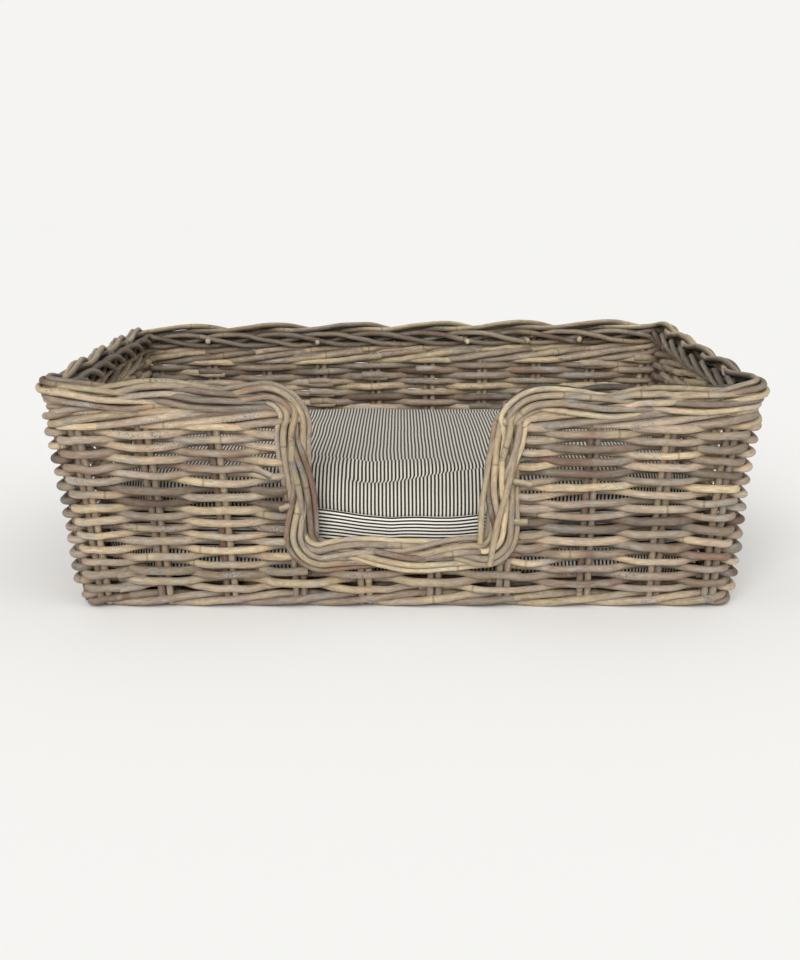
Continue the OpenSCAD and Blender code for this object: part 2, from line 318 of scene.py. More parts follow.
@dataclass
class CaneMaker:
    """Draws each cane's thickness and colour from one seeded source, so that every run is the same."""

    seed: int
    uneven: float = 0.045
    kink: float = 0.19 * MM

    def __post_init__(self) -> None:
        """Starts the random source."""
        self.draw = np.random.default_rng(self.seed)

    def cane(
        self,
        path: np.ndarray,
        face: np.ndarray,
        palette: Palette,
        diameter: float,
        spread: float = 0.07,
        tone: float | None = None,
    ) -> Cane:
        """Makes a cane along a path.

        Its radius is half the diameter, times one random factor, times a slow wave along its length. The
        path gets three small random waves, up to about 'kink' each, so that no cane is quite straight.

        Args:
            path: points along the cane.
            face: a direction, or one at each point, that is roughly square to the cane.
            palette: the mix that the colour is drawn from.
            diameter: mean diameter of such canes.
            spread: how much thicker or thinner a cane may be, as a share.
            tone: a chosen tone in place of a random one.

        Returns:
            The cane.
        """
        low, high, dark, light, spotted = palette.value
        draw = self.draw
        steps = np.linspace(0.0, 1.0, len(path))
        wave = 1.0 + self.uneven * np.sin(TURN * (steps * draw.uniform(1.0, 4.0) + draw.random()))
        radius = 0.5 * diameter * (1.0 + draw.uniform(-spread, spread)) * wave
        chosen = low + (high - low) * draw.beta(1.5, 1.5) if tone is None else tone
        face = np.broadcast_to(face, path.shape)
        length = lengths_along(path)
        for direction in draw.normal(size=(3, 3)):
            bend = np.sin(length / draw.uniform(5 * MM, 13 * MM) + draw.uniform(0, TURN))
            path = path + self.kink * bend[:, None] * direction
        spots = draw.uniform(0.5, 1.0) if draw.random() < spotted else draw.uniform(0.0, 0.25)
        return Cane(path, radius, face, chosen, draw.uniform(dark, light), spots, draw.random())


# ---------------------------------------------------------------- the basket's walls as one surface


@dataclass
class BasketForm:
    """The walls' middle surface: a rounded rectangle that grows with height.

    A place on it is a pair number, a height and a distance outwards. Pair numbers count the stake pairs
    anticlockwise from the front left corner, so pair 0 is the first, and halfway to the next is 0.5. The
    pairs stand at front_mm along the front and at side_mm along both sides, in millimetres from the
    wall's middle, and every pair_pitch along the back.
    """

    rim_half_w: float
    rim_half_d: float
    height: float
    taper: float = 0.064
    wall: float = 25.8 * MM
    pair_pitch: float = 77.3 * MM
    pairs_long: int = 10
    pairs_short: int = 7
    front_mm: tuple[float, ...] = (-346, -275, -200, -121, -46, 33, 112, 204, 284, 348)
    side_mm: tuple[float, ...] = (-251, -167, -84, 0, 84, 167, 251)

    def __post_init__(self) -> None:
        """Works out the wall's size at the floor and the place of every pair of stakes."""
        self.half_w = self.rim_half_w - self.wall / 2 - self.taper * self.height
        self.half_d = self.rim_half_d - self.wall / 2 - self.taper * self.height
        self.corner_r = self.wall / 2 + 1 * MM
        self.straight = np.array([self.half_w, self.half_d, self.half_w, self.half_d]) - self.corner_r
        bend = self.corner_r * math.pi / 2
        lengths = np.stack([2 * self.straight, np.full(4, bend)], axis=1).reshape(-1)
        self.lengths = lengths
        self.starts = np.concatenate([[0.0], np.cumsum(lengths)])
        self.perimeter = float(self.starts[-1])
        places = []
        for wall in range(4):
            count = self.pairs_short if wall % 2 else self.pairs_long
            along = (np.arange(count) - (count - 1) / 2) * self.pair_pitch
            if wall != 2:
                along = np.array(self.side_mm if wall % 2 else self.front_mm) * MM
            places.append(self.starts[2 * wall] + self.straight[wall] + along)
        self.places = np.concatenate(places)
        self.pairs = len(self.places)

    def distance(self, pair: np.ndarray) -> np.ndarray:
        """Distance round the walls, from the front left corner, at a fractional pair number."""
        turns = np.floor(pair / self.pairs)
        inner = pair - turns * self.pairs
        known = np.concatenate([self.places, [self.places[0] + self.perimeter]])
        return np.interp(inner, np.arange(self.pairs + 1), known) + turns * self.perimeter

    def pair_at(self, x: float) -> float:
        """Pair number on the front wall where it stands at x on the floor line."""
        return float(np.interp(x, np.array(self.front_mm) * MM, np.arange(self.pairs_long)))

    def point(self, pair: np.ndarray, z: np.ndarray, out: np.ndarray) -> tuple[np.ndarray, np.ndarray]:
        """Points on or off the walls.

        On a straight wall j the point is normal * far + along * half * t. In the corner after it, it is
        the corner's centre plus corner radius * normal, where the normal turns with the angle.

        Args:
            pair: pair numbers.
            z: heights.
            out: distances outwards from the wall's middle.

        Returns:
            The points and the outward normals there.
        """
        pair, z, out = np.broadcast_arrays(
            np.asarray(pair, float), np.asarray(z, float), np.asarray(out, float)
        )
        u = np.mod(self.distance(pair), self.perimeter)
        part = np.clip(np.searchsorted(self.starts, u, side="right") - 1, 0, 7)
        share = (u - self.starts[part]) / self.lengths[part]
        wall = part // 2
        corner = part % 2
        normals = np.array([[0.0, -1.0], [1.0, 0.0], [0.0, 1.0], [-1.0, 0.0]])
        alongs = np.array([[1.0, 0.0], [0.0, 1.0], [-1.0, 0.0], [0.0, -1.0]])
        far = np.where(wall % 2 == 0, self.half_d, self.half_w) + self.taper * z
        half = np.where(wall % 2 == 0, self.half_w, self.half_d) + self.taper * z - self.corner_r
        normal = normals[wall]
        along = alongs[wall]
        flat = normal * far[:, None] + along * (half * (2 * share - 1))[:, None]
        angle = share * math.pi / 2
        turned = normal * np.cos(angle)[:, None] + along * np.sin(angle)[:, None]
        centre = normal * (far - self.corner_r)[:, None] + along * half[:, None]
        bent = centre + turned * self.corner_r
        outward = np.where(corner[:, None] == 1, turned, normal)
        place = np.where(corner[:, None] == 1, bent, flat) + outward * out[:, None]
        points = np.column_stack([place, z])
        return self.settle(points), np.column_stack([outward, np.zeros(len(z))])

    def settle(self, points: np.ndarray) -> np.ndarray:
        """Gives the even form its hand-made lean.

        The side walls stand further out by 2 mm plus 7 mm * (height / 205 mm) cubed. The whole basket
        leans to the left by 7 mm at the floor, less and less upwards. The back rim rises to the right.
        """
        x, y, z = points.T
        high = np.clip(z / (205 * MM), 0, 1.35)
        wider = (2 + 7 * np.minimum(high, 1.0) ** 3) * MM * x / self.rim_half_w
        shift = (7 - 4.5 * np.minimum(high, 1.0)) * MM
        back = smoothstep(y, 0.0, self.rim_half_d) * np.clip(high - 0.2, 0, 1)
        return np.column_stack([x + wider + shift, y, z + 4.5 * MM * back * x / self.rim_half_w])


@dataclass
class Scoop:
    """The entrance: where the front wall stops and how its border runs."""

    half_w: float = 114 * MM
    sill_z: float = 65 * MM
    rim_z: float = 253 * MM
    low_r: float = 26 * MM
    high_r: float = 32 * MM

    def pair_range(self, form: BasketForm, tuck: float) -> tuple[float, float]:
        """First and last pair number of a band that runs from the scoop's right side round to its left.

        Args:
            form: the basket's walls.
            tuck: how far the band reaches in behind the scoop's border.

        Returns:
            The two pair numbers, the second past a full turn.
        """
        right = form.pair_at(self.half_w - tuck)
        left = form.pair_at(-self.half_w + tuck) + form.pairs
        return right, left


def piece_of_pair(form: BasketForm, pair: float) -> str:
    """Names the wall that a pair number is on: front_left, front_sill, front_right, right, back or left."""
    inner = pair % form.pairs
    long_count, short_count = form.pairs_long, form.pairs_short
    if inner < 2.8 or inner > form.pairs - 0.5:
        return "front_left"
    if inner < 6.2:
        return "front_sill"
    if inner < long_count - 0.5:
        return "front_right"
    if inner < long_count + short_count - 0.5:
        return "right"
    if inner < 2 * long_count + short_count - 0.5:
        return "back"
    return "left"


@dataclass
class WovenWalls:
    """Single canes woven in and out of the stake pairs, with alternate rows in opposite phase."""

    form: BasketForm
    scoop: Scoop
    maker: CaneMaker
    cane_d: float = 8.7 * MM
    reach: float = 8.5 * MM
    low: float = 24.6 * MM
    high: float = 215.5 * MM
    rows: int = 25
    ring_step: float = 0.06
    own_waves: tuple = ((0.9, 3), (0.55, 8), (0.35, 19))
    lap: float = 0.22
    meet: float = 0.32
    thicker: float = 1.11
    pale_share: float = 0.6

    def weave_out(self, pair: np.ndarray, phase: int) -> np.ndarray:
        """How far out a weaving cane stands: a flattened cosine wave, one half wave for each pair."""
        wave = np.cos(math.pi * (pair - phase))
        return self.reach * wave * (1.5 - 0.5 * wave**2)

    def row_height(self, row: int, pair: np.ndarray) -> np.ndarray:
        """Height of a row: its even step, plus waves in millimetres that make it look laid by hand.

        A row has its own waves, of the heights and numbers round the basket in own_waves, and waves that
        it shares with the rows near it. Both are stronger on the front, and the rows on the inside of the
        stack crowd and part by a wave that also runs up the wall.
        """
        step = (self.high - self.low) / (self.rows - 1)
        shift = self.row_shift[row]
        turn = TURN * pair / self.form.pairs
        waves = sum(
            size * np.sin(number * turn + start) for (size, number), start in zip(self.own_waves, shift)
        )
        inner = np.mod(pair, self.form.pairs)
        front = smoothstep(-inner, -self.form.pairs_long, -self.form.pairs_long + 1.0)
        own = (0.35 + 0.65 * front) * (waves + shift[3])
        shared = 0.8 * np.sin(5 * turn + 1.0) + 0.5 * np.sin(9 * turn + 0.12 * row)
        inwards = smoothstep(row, 0.0, 3.0) * smoothstep(self.rows - 1 - row, 0.0, 3.0)
        inwards = inwards * (0.3 + 0.7 * front)
        shared = shared + 1.5 * inwards * np.sin(0.62 * row + 7 * turn + 1.6 * np.sin(11 * turn))
        return self.low + row * step + (own + shared) * MM

    def cuts(self, first: float, last: float, row: int) -> list[float]:
        """Pair numbers where one cane of a row ends and the next begins, always behind a pair.

        Args:
            first: pair number where the row starts.
            last: pair number where it ends.
            row: number of the row.

        Returns:
            The first number, the joins between, and the last number.
        """
        places = [first]
        while places[-1] < last:
            target = places[-1] + self.maker.draw.uniform(4.0, 12.0)
            behind = round((target - row - 1) / 2) * 2 + row + 1
            if last - behind < 3.0:
                break
            places.append(float(behind))
        return places + [last]

    def run(self, row: int, start: float, end: float, free_start: bool, free_end: bool) -> tuple:
        """One cane of a row between two pair numbers.

        Where it ends beside another one it rises by 2.6 mm and goes 3.4 mm in, and where it starts
        beside another one it drops by 2 mm, so that the two pass. Next to the scoop, all but the lowest
        rows come in behind the scoop's border.

        Args:
            row: number of the row.
            start: first pair number.
            end: last pair number.
            free_start: whether the cane starts beside another one.
            free_end: whether it ends beside another one.

        Returns:
            The pair numbers, heights and distances outwards along the cane.
        """
        lap = self.lap
        start, end = start - lap * free_start, end + lap * free_end
        count = max(int((end - start) / self.ring_step), 6)
        pair = np.linspace(start, end, count)
        out = self.weave_out(pair, row % 2)
        z = self.row_height(row, pair)
        tuck_in = free_end * smoothstep(pair, end - 2.2 * lap, end - 1.2 * lap)
        lift = free_start * smoothstep(-pair, -start - 2.2 * lap, -start - 1.2 * lap)
        z = z + (2.6 * tuck_in - 2.0 * lift) * MM
        out = out - 3.4 * MM * tuck_in
        first, last = self.scoop.pair_range(self.form, 0.0)
        if row > 3:
            near = smoothstep(-pair, -first - self.meet, -first) + smoothstep(pair, last - self.meet, last)
            out = out * (1 - near) - 3 * MM * near
        return pair, z - out * self.form.taper, out

    def build(self, material: bpy.types.Material) -> dict[str, bpy.types.Object]:
        """Weaves all rows and returns one piece for each wall, by the wall's name."""
        draw = self.maker.draw
        self.row_shift = np.column_stack(
            [draw.uniform(0, TURN, (self.rows, 3)), draw.uniform(-0.45, 0.45, self.rows)]
        )
        bundles = {wall: CaneBundle(f"woven_{wall}") for wall in WALLS}
        for row in range(self.rows):
            height = self.low + row * (self.high - self.low) / (self.rows - 1)
            closed = height < self.scoop.sill_z - 19 * MM
            ends = (0.5, 0.5 + self.form.pairs) if closed else self.scoop.pair_range(self.form, 3 * MM)
            places = self.cuts(*ends, row)
            for index, (start, end) in enumerate(zip(places[:-1], places[1:])):
                last = index == len(places) - 2
                pair, z, out = self.run(row, start, end, index > 0 or closed, not last or closed)
                path, _ = self.form.point(pair, z, out)
                where = piece_of_pair(self.form, (start + end) / 2)
                front = where.startswith("front")
                # canes off the front are partly drawn from the darker inside mix, whose low brightness is
                # painted shade
                palette = Palette.WALL if front or draw.random() < self.pale_share else Palette.SHADED_INSIDE
                diameter = self.cane_d if front else self.cane_d * self.thicker
                bundles[where].canes.append(self.maker.cane(path, UP, palette, diameter, spread=0.12))
        return {name: bundle.build(material) for name, bundle in bundles.items()}


@dataclass
class Stakes:
    """Pairs of upright rods that the walls are woven on."""

    form: BasketForm
    scoop: Scoop
    maker: CaneMaker
    rod_d: float = 8.2 * MM
    gap: float = 0.9 * MM
    low: float = 6 * MM
    high: float = 246 * MM
    rings: int = 24

    def build(self, material: bpy.types.Material) -> dict[str, bpy.types.Object]:
        """Sets two rods at every pair number and returns one piece for each wall."""
        bundles = {wall: CaneBundle(f"rods_{wall}", sides=10) for wall in WALLS}
        sideways = (self.rod_d + self.gap) / 2
        draw = self.maker.draw
        for number in range(self.form.pairs):
            where = piece_of_pair(self.form, number)
            top = self.scoop.sill_z - 6 * MM if where == "front_sill" else self.high
            for side in (-1, 1):
                z = np.linspace(self.low, top, self.rings)
                sway = 0.7 * MM * np.sin(z / (30 * MM) + draw.uniform(0, PHASE))
                lean = draw.uniform(-1.5, 1.5) * MM * (z / self.high)
                path, normal = self.form.point(number, z, 0.4 * sway)
                shift = side * sideways + sway * 0.3 + lean
                path = path + np.cross(UP, normal) * shift[:, None]
                rod = self.maker.cane(path, normal, Palette.STAKE, self.rod_d, spread=0.05)
                bundles[where].canes.append(rod)
        return {name: bundle.build(material) for name, bundle in bundles.items()}


@dataclass
class TwistedBand:
    """Rods twisted round the stakes like a rope: the waling under the rim, and the foot."""

    form: BasketForm
    maker: CaneMaker
    rod_d: float
    rods: int
    pairs_per_turn: float
    middle_z: float
    rise: float
    reach: float
    shift: float = 0.0
    ring_step: float = 0.07
    lap: float = 0.3
    tuck_in: float = 3 * MM

    def build(
        self,
        prefix: str,
        first: float,
        last: float,
        closed: bool,
        material: bpy.types.Material,
        palette: Palette,
    ) -> dict[str, bpy.types.Object]:
        """Twists the rods and returns one piece for each wall.

        Rod m stands out by reach * cos(t) and up by rise * sin(t), where t grows by a full turn every
        pairs_per_turn pairs and starts m / rods of a turn further on. A rod that runs out goes in behind
        the next length of it.

        Args:
            prefix: first word of the pieces' names.
            first: pair number where the band starts.
            last: pair number where it ends.
            closed: whether it runs all the way round.
            material: the finish.
            palette: the mix of canes.

        Returns:
            The pieces, by the wall's name.
        """
        bundles: dict[str, CaneBundle] = {}
        draw = self.maker.draw
        for rod in range(self.rods):
            start = first
            while start < last - 0.01:
                end = min(start + draw.uniform(3.2, 6.5), last)
                if last - end < 2.0:
                    end = last
                low = start - self.lap * (closed or start > first)
                high = end + self.lap * (closed or end < last)
                pair = np.linspace(low, high, max(int((high - low) / self.ring_step), 6))
                turn = TURN * (pair / self.pairs_per_turn + rod / self.rods)
                wobble = 0.35 * MM * np.sin(pair * 2.3 + draw.uniform(0, PHASE))
                out = self.reach * np.cos(turn) + self.shift
                z = self.middle_z + self.rise * np.sin(turn) + wobble
                tuck = smoothstep(pair, high - 0.5, high) * (end < last or closed)
                path, _ = self.form.point(pair, z, out - self.tuck_in * tuck)
                where = piece_of_pair(self.form, (start + end) / 2)
                bundle = bundles.setdefault(where, CaneBundle(f"{prefix}_{where}"))
                bundle.canes.append(self.maker.cane(path, UP, palette, self.rod_d, spread=0.05))
                start = end
        return {name: bundle.build(material) for name, bundle in bundles.items()}


@dataclass
class Track:
    """A closed line made of straight runs and round bends, with its directions."""

    corners: np.ndarray
    bends: np.ndarray
    step: float = 2.5 * MM

    def __post_init__(self) -> None:
        """Rounds every corner and measures the line.

        A bend of radius r that turns by an angle a starts r * tan(a / 2) before the corner. Its points
        are the start + r * (sin t * incoming + (1 - cos t) * towards the centre), for t from 0 to a.
        """
        points = []
        befores, afters = np.roll(self.corners, 1, axis=0), np.roll(self.corners, -1, axis=0)
        for corner, before, after, radius in zip(self.corners, befores, afters, self.bends):
            into, away = unit(corner - before), unit(after - corner)
            turn = math.acos(float(np.clip(into @ away, -1, 1)))
            inward = unit(away - into * (into @ away))
            start = corner - into * radius * math.tan(turn / 2)
            angle = np.linspace(0, turn, max(int(radius * turn / self.step), 8))[:, None]
            points.append(start + radius * (np.sin(angle) * into + (1 - np.cos(angle)) * inward))
        self.rough = np.vstack([*points, points[0][:1]])
        self.along = lengths_along(self.rough)
        self.length = float(self.along[-1])

    def point(self, s: np.ndarray) -> np.ndarray:
        """Points at the distances s along the line."""
        wrapped = np.mod(s, self.length)
        return np.stack([np.interp(wrapped, self.along, self.rough[:, axis]) for axis in range(3)], axis=1)

    def tangent(self, s: np.ndarray) -> np.ndarray:
        """Directions of travel at the distances s, taken over a few millimetres."""
        reach = 3 * MM
        return unit(self.point(s + reach) - self.point(s - reach))


@dataclass
class PlaitedBorder:
    """A three-strand plait, with three canes to a strand, round the rim and down round the scoop.

    Along the band a strand goes sideways by a * sin(t) and outwards by b * sin(2t). The three strands
    are a third of a turn apart. The sideways travel is laid over a round form of radius bow. The front
    of the rim hangs lower, by hang_mm: places across the basket and drops there, in millimetres.
    """

    form: BasketForm
    scoop: Scoop
    maker: CaneMaker
    rim_half: tuple[float, float]
    cane_d: float = 7.3 * MM
    twin_gap: float = 7.2 * MM
    sideways: float = 10.6 * MM
    outwards: float = 4.6 * MM
    bow_rim: float = 20 * MM
    bow_scoop: float = 34 * MM
    half_band: float = 17.5 * MM
    turns: int = 8
    ring_step: float = 3.6 * MM
    corner_r: float = 16 * MM
    lap: float = 11 * MM
    pale_share: float = 0.24
    hang_mm: tuple = (
        (-410, 1), (-360, 2.5), (-300, 4.3), (-200, 4.5), (-130, 6), (0, 6),
        (112, 16.5), (200, 12), (290, 13), (360, 6), (410, 2),
    )

    def __post_init__(self) -> None:
        """Lays out the line that the middle of the band follows.

        It goes from the scoop's upper right corner round the rim to its upper left one, then down, along
        the sill and up again. The hand-made scoop is a few millimetres out of true at each corner.
        """
        half_w, half_d = self.rim_half
        scoop, rim = self.scoop, self.scoop.rim_z
        leaning = self.form.half_d + self.form.taper * np.array([scoop.sill_z, rim]) - 1 * MM
        low, high = -leaning
        w = scoop.half_w
        corners = [
            (w + 4 * MM, high, rim),
            (half_w, -half_d, rim),
            (half_w, half_d, rim),
            (-half_w, half_d, rim),
            (-half_w, -half_d, rim),
            (-w - 6 * MM, high, rim),
            (-w - 2 * MM, low, scoop.sill_z),
            (w - 7 * MM, low, scoop.sill_z),
        ]
        bends = [scoop.high_r, *[self.corner_r] * 4, scoop.high_r, scoop.low_r, scoop.low_r]
        self.track = Track(np.array(corners), np.array(bends))

    def front_rim(self, middle: np.ndarray) -> np.ndarray:
        """Share from 0 to 1 by which points belong to the rim's front side."""
        high = smoothstep(middle[:, 2], 215 * MM, 250 * MM)
        return high * smoothstep(-middle[:, 1], 0.17, self.rim_half[1] - 22 * MM)

    def frame(self, s: np.ndarray) -> tuple[np.ndarray, np.ndarray, np.ndarray]:
        """Middle points, sideways directions and face directions of the band at the distances s.

        The face looks outwards, and on the rim also upwards by a share that fades to nothing on the
        scoop's uprights and is small again on the sill.
        """
        middle = self.track.point(s)
        tangent = self.track.tangent(s)
        half_w, half_d = self.rim_half
        edge_x = smoothstep(np.abs(middle[:, 0]), half_w - 30 * MM, half_w - 2 * MM) * np.sign(middle[:, 0])
        edge_y = smoothstep(np.abs(middle[:, 1]), half_d - 30 * MM, half_d - 2 * MM) * np.sign(middle[:, 1])
        front = smoothstep(-middle[:, 1], half_d - 34 * MM, half_d - 14 * MM)
        edge_y = np.where(middle[:, 1] < 0, -front, edge_y)
        outward = np.stack([edge_x, edge_y, np.zeros(len(s))], axis=1)
        lift = 0.42 * smoothstep(middle[:, 2], 205 * MM, 250 * MM)
        lift = lift + 0.12 * smoothstep(-middle[:, 2], -95 * MM, -70 * MM)
        face = unit(outward) + lift[:, None] * UP
        face = unit(face - np.sum(face * tangent, axis=1, keepdims=True) * tangent)
        return middle, np.cross(face, tangent), face

    def line(
        self, s: np.ndarray, sideways: np.ndarray, outwards: np.ndarray
    ) -> tuple[np.ndarray, np.ndarray]:
        """Lays points on the band.

        Args:
            s: distances along the band.
            sideways: distances sideways, measured over the bow.
            outwards: distances outwards from the bow.

        Returns:
            The points and the directions away from the bow's centre there.
        """
        middle, side, face = self.frame(s)
        on_rim = smoothstep(middle[:, 2], 215 * MM, 250 * MM)
        bow = self.bow_scoop + (self.bow_rim - self.bow_scoop) * on_rim
        angle = sideways / bow
        centre = middle - face * (bow + self.outwards + self.cane_d / 2 - self.half_band)[:, None]
        away = np.cos(angle)[:, None] * face + np.sin(angle)[:, None] * side
        flare = (self.rim_half[0] - 45 * MM, self.rim_half[0] - 4 * MM)
        corner = smoothstep(np.abs(middle[:, 0]), *flare) * smoothstep(-middle[:, 1], 0.16, 0.28) * on_rim
        points = centre + away * (bow + outwards)[:, None]
        places, drops = np.array(self.hang_mm).T * MM
        points[:, 2] -= self.front_rim(middle) * np.interp(points[:, 0], places, drops)
        points[:, 0] += np.sign(points[:, 0]) * corner * 6 * MM
        return self.form.settle(points), away

    def piece_at(self, s: float) -> str:
        """Names the piece that the middle of a cane belongs to."""
        x, y, z = self.track.point(np.array([s]))[0]
        if z < self.scoop.sill_z + 16 * MM and abs(x) < self.scoop.half_w:
            return "scoop_sill"
        if z < self.scoop.rim_z - 20 * MM:
            return "scoop_right" if x > 0 else "scoop_left"
        half_w, half_d = self.rim_half
        if y < -half_d + 20 * MM and abs(x) < half_w - 10 * MM:
            return "rim_front_right" if x > 0 else "rim_front_left"
        if abs(x) > half_w - 10 * MM:
            return "rim_right" if x > 0 else "rim_left"
        return "rim_back"

    def strand(self, bundles: dict[str, CaneBundle], strand: int, twin: int) -> None:
        """Lays one of the three canes of a strand, in lengths whose ends are hidden behind the band.

        On the front of the rim the strands swing less far sideways and further outwards.

        Args:
            bundles: the pieces that the canes go into, by name.
            strand: number of the strand, 0 to 2.
            twin: which of its canes, -1 to 1 across the strand.
        """
        draw = self.maker.draw
        period = self.track.length / self.turns
        half = period / 2
        start = (0.375 - strand / 3 + 0.02 * twin) * period
        place, last = start, start + self.track.length
        while place < last - 1e-6:
            count = int(draw.integers(2, 4))
            end = place + count * half
            if last - end < 1.5 * half:
                end = last
            s = np.linspace(place - self.lap, end + self.lap, max(int((end - place) / self.ring_step), 8))
            turn = TURN * (s / period + strand / 3) + draw.uniform(-0.1, 0.1)
            slow = 0.6 * MM * np.sin(s / (37 * MM) + draw.uniform(0, PHASE))
            swing = np.sin(turn)
            front = self.front_rim(self.track.point(s))
            swing = (1 - 0.36 * front) * swing * (1.35 - 0.35 * swing**2)
            side = self.sideways * swing + twin * self.twin_gap + slow
            lively = 1 + 0.3 * front
            out = lively * self.outwards * np.sin(2 * turn) + 0.5 * slow + (0.8 - 1.2 * abs(twin)) * MM
            ends = smoothstep(s, end - 4 * MM, end + self.lap)
            ends = ends + smoothstep(-s, -place - 4 * MM, -place + self.lap)
            path, away = self.line(s, side, out - 3.5 * MM * ends)
            tone = draw.uniform(0.04, 0.3) if draw.random() < self.pale_share else None
            bundle = bundles.setdefault(self.piece_at((place + end) / 2), CaneBundle(""))
            bundle.canes.append(self.maker.cane(path, away, Palette.BORDER, self.cane_d, tone=tone))
            place = end

    def core(self, bundles: dict[str, CaneBundle], number: int) -> None:
        """Lays one of the three canes that twist along the inner side of the band."""
        draw = self.maker.draw
        place = draw.uniform(0, 200 * MM)
        last = place + self.track.length
        while place < last - 1e-6:
            end = place + draw.uniform(240 * MM, 380 * MM)
            if last - end < 160 * MM:
                end = last
            s = np.linspace(place - 12 * MM, end + 12 * MM, max(int((end - place) / self.ring_step), 8))
            middle, side, face = self.frame(s)
            turn = TURN * (s / (210 * MM) + number / 3)
            across = 9.0 * MM * np.sin(turn)
            depth = -8.5 * MM - 5.0 * MM * np.cos(turn)
            path = self.form.settle(middle + side * across[:, None] + face * depth[:, None])
            bundle = bundles.setdefault(self.piece_at((place + end) / 2), CaneBundle(""))
            # the inner canes take the darker inside mix: painted shade behind the band
            bundle.canes.append(self.maker.cane(path, -face, Palette.SHADED_INSIDE, self.cane_d))
            place = end

    def build(self, material: bpy.types.Material) -> dict[str, bpy.types.Object]:
        """Plaits the whole border and returns its pieces by name."""
        bundles: dict[str, CaneBundle] = {}
        for strand in range(3):
            for twin in (-1, 0, 1):
                self.strand(bundles, strand, twin)
        for number in range(3):
            self.core(bundles, number)
        pieces = {}
        for name, bundle in bundles.items():
            bundle.name = "plait_" + name
            pieces[name] = bundle.build(material)
        return pieces


@dataclass
class LooseEnds:
    """Cut cane ends that show: over the scoop's lower right corner, beside the scoop and in the back rim.

    All places are in millimetres. Those in front of the front wall are x, distance out from the wall's
    middle, and z; those in the back rim are x and z, and the corner's are x, y and z.
    """

    form: BasketForm
    maker: CaneMaker
    crossing: tuple = (
        ((108, 3, 202), (100, 9.5, 181), (93.5, 12, 136), (91.5, 13.5, 100), (91, 14.8, 82)),
        (
            (134, 5, 205), (128, 11.5, 181), (118.5, 14.5, 136), (110.5, 15.5, 107), (105, 16, 74),
            (102.5, 13.5, 55),
        ),
    )
    stubs: tuple = (
        ((-178, -6, 169), (-160, 4, 166), (-144, 10.5, 159)),
        ((126, 8, 153), (138, 9, 151), (148, 9.5, 149.5)),
        ((122, 7, 106.5), (136, 9, 105), (144, 9.8, 105.5)),
        ((-118, 6, 124), (-128, 9, 123), (-136, 10.5, 121)),
    )
    rim_ends: tuple = ((-289, 249), (-124, 248), (97, 249), (187, 250), (272, 252))
    corner_end: tuple = ((372, -266, 249), (386, -271, 252), (398, -272, 253), (410, -271, 252.5))

    def front(self, places: tuple) -> np.ndarray:
        """Points in front of the front wall, from x, distance out and z in millimetres."""
        x, out, z = (np.array(places, float) * MM).T
        t = np.linspace(0, len(places) - 1, 14 * (len(places) - 1))
        x, out, z = (np.interp(t, np.arange(len(places)), values) for values in (x, out, z))
        for _ in range(4):
            x[1:-1], out[1:-1], z[1:-1] = (
                (values[:-2] + 2 * values[1:-1] + values[2:]) / 4 for values in (x, out, z)
            )
        return np.column_stack([x, -(self.form.half_d + self.form.taper * z) - out, z])

    def build(self, material: bpy.types.Material) -> list[bpy.types.Object]:
        """Lays the loose ends and returns them as three pieces."""
        across, beside, trimmed = CaneBundle("crossing_ends"), CaneBundle("row_ends"), CaneBundle("rim_ends")
        for places in self.crossing:
            cane = self.maker.cane(self.front(places), -Y_AXIS, Palette.BORDER, 7.4 * MM, tone=0.22)
            across.canes.append(cane)
        for places in self.stubs:
            beside.canes.append(self.maker.cane(self.front(places), UP, Palette.WALL, 8.2 * MM, tone=0.3))
        for x, z in self.rim_ends:
            steps = np.linspace(0, 1, 6)
            lean = self.maker.draw.uniform(-6, 6)
            path = np.column_stack([x + lean * steps, 284 - 22 * steps, z - 3 * steps]) * MM
            trimmed.canes.append(self.maker.cane(path, UP, Palette.BORDER, 7.6 * MM, tone=0.05))
        corner = np.array(self.corner_end) * MM
        beside.canes.append(self.maker.cane(corner, UP, Palette.BORDER, 7.8 * MM, tone=0.5))
        return [bundle.build(material) for bundle in (across, beside, trimmed)]


@dataclass
class WovenBase:
    """The floor of the basket: weavers that run left to right, over and under nine sticks."""

    half_w: float
    half_d: float
    middle_z: float
    maker: CaneMaker
    pitch: float = 75.6 * MM
    sticks: int = 9
    stick_d: float = 8 * MM
    cane_d: float = 8.6 * MM
    row_pitch: float = 7.9 * MM
    reach: float = 8.3 * MM
    rings: int = 92

    def build(self, stick_finish: bpy.types.Material, weave_finish: bpy.types.Material) -> tuple:
        """Lays the sticks and weaves the rows.

        A weaver stands reach * cos(pi * (x / pitch - row)) over the middle of the base.

        Args:
            stick_finish: the finish of the sticks.
            weave_finish: the finish of the weavers.

        Returns:
            The stick piece and the weave piece.
        """
        sticks = CaneBundle("base_sticks_round", sides=10)
        for number in range(self.sticks):
            x = (number - (self.sticks - 1) / 2) * self.pitch
            y = np.linspace(-self.half_d + 4 * MM, self.half_d - 4 * MM, 30)
            path = np.column_stack([np.full_like(y, x), y, np.full_like(y, self.middle_z)])
            sticks.canes.append(self.maker.cane(path, UP, Palette.STAKE, self.stick_d, spread=0.03))
        weave = CaneBundle("base_weavers", sides=8)
        rows = int(2 * self.half_d / self.row_pitch)
        for row in range(rows):
            y = -self.half_d + self.cane_d / 2 + row * (2 * self.half_d - self.cane_d) / (rows - 1)
            x = np.linspace(-self.half_w + 2 * MM, self.half_w - 2 * MM, self.rings)
            wave = np.cos(math.pi * (x / self.pitch - row))
            drift = 0.5 * MM * np.sin(x / (90 * MM) + row)
            path = np.column_stack([x, y + drift, self.middle_z + self.reach * wave * (1.5 - 0.5 * wave**2)])
            # the base weavers take the darker inside mix: painted shade under the cushion
            weave.canes.append(self.maker.cane(path, Y_AXIS, Palette.SHADED_INSIDE, self.cane_d, spread=0.04))
        return sticks.build(stick_finish), weave.build(weave_finish)


# ---------------------------------------------------------------- the cushion


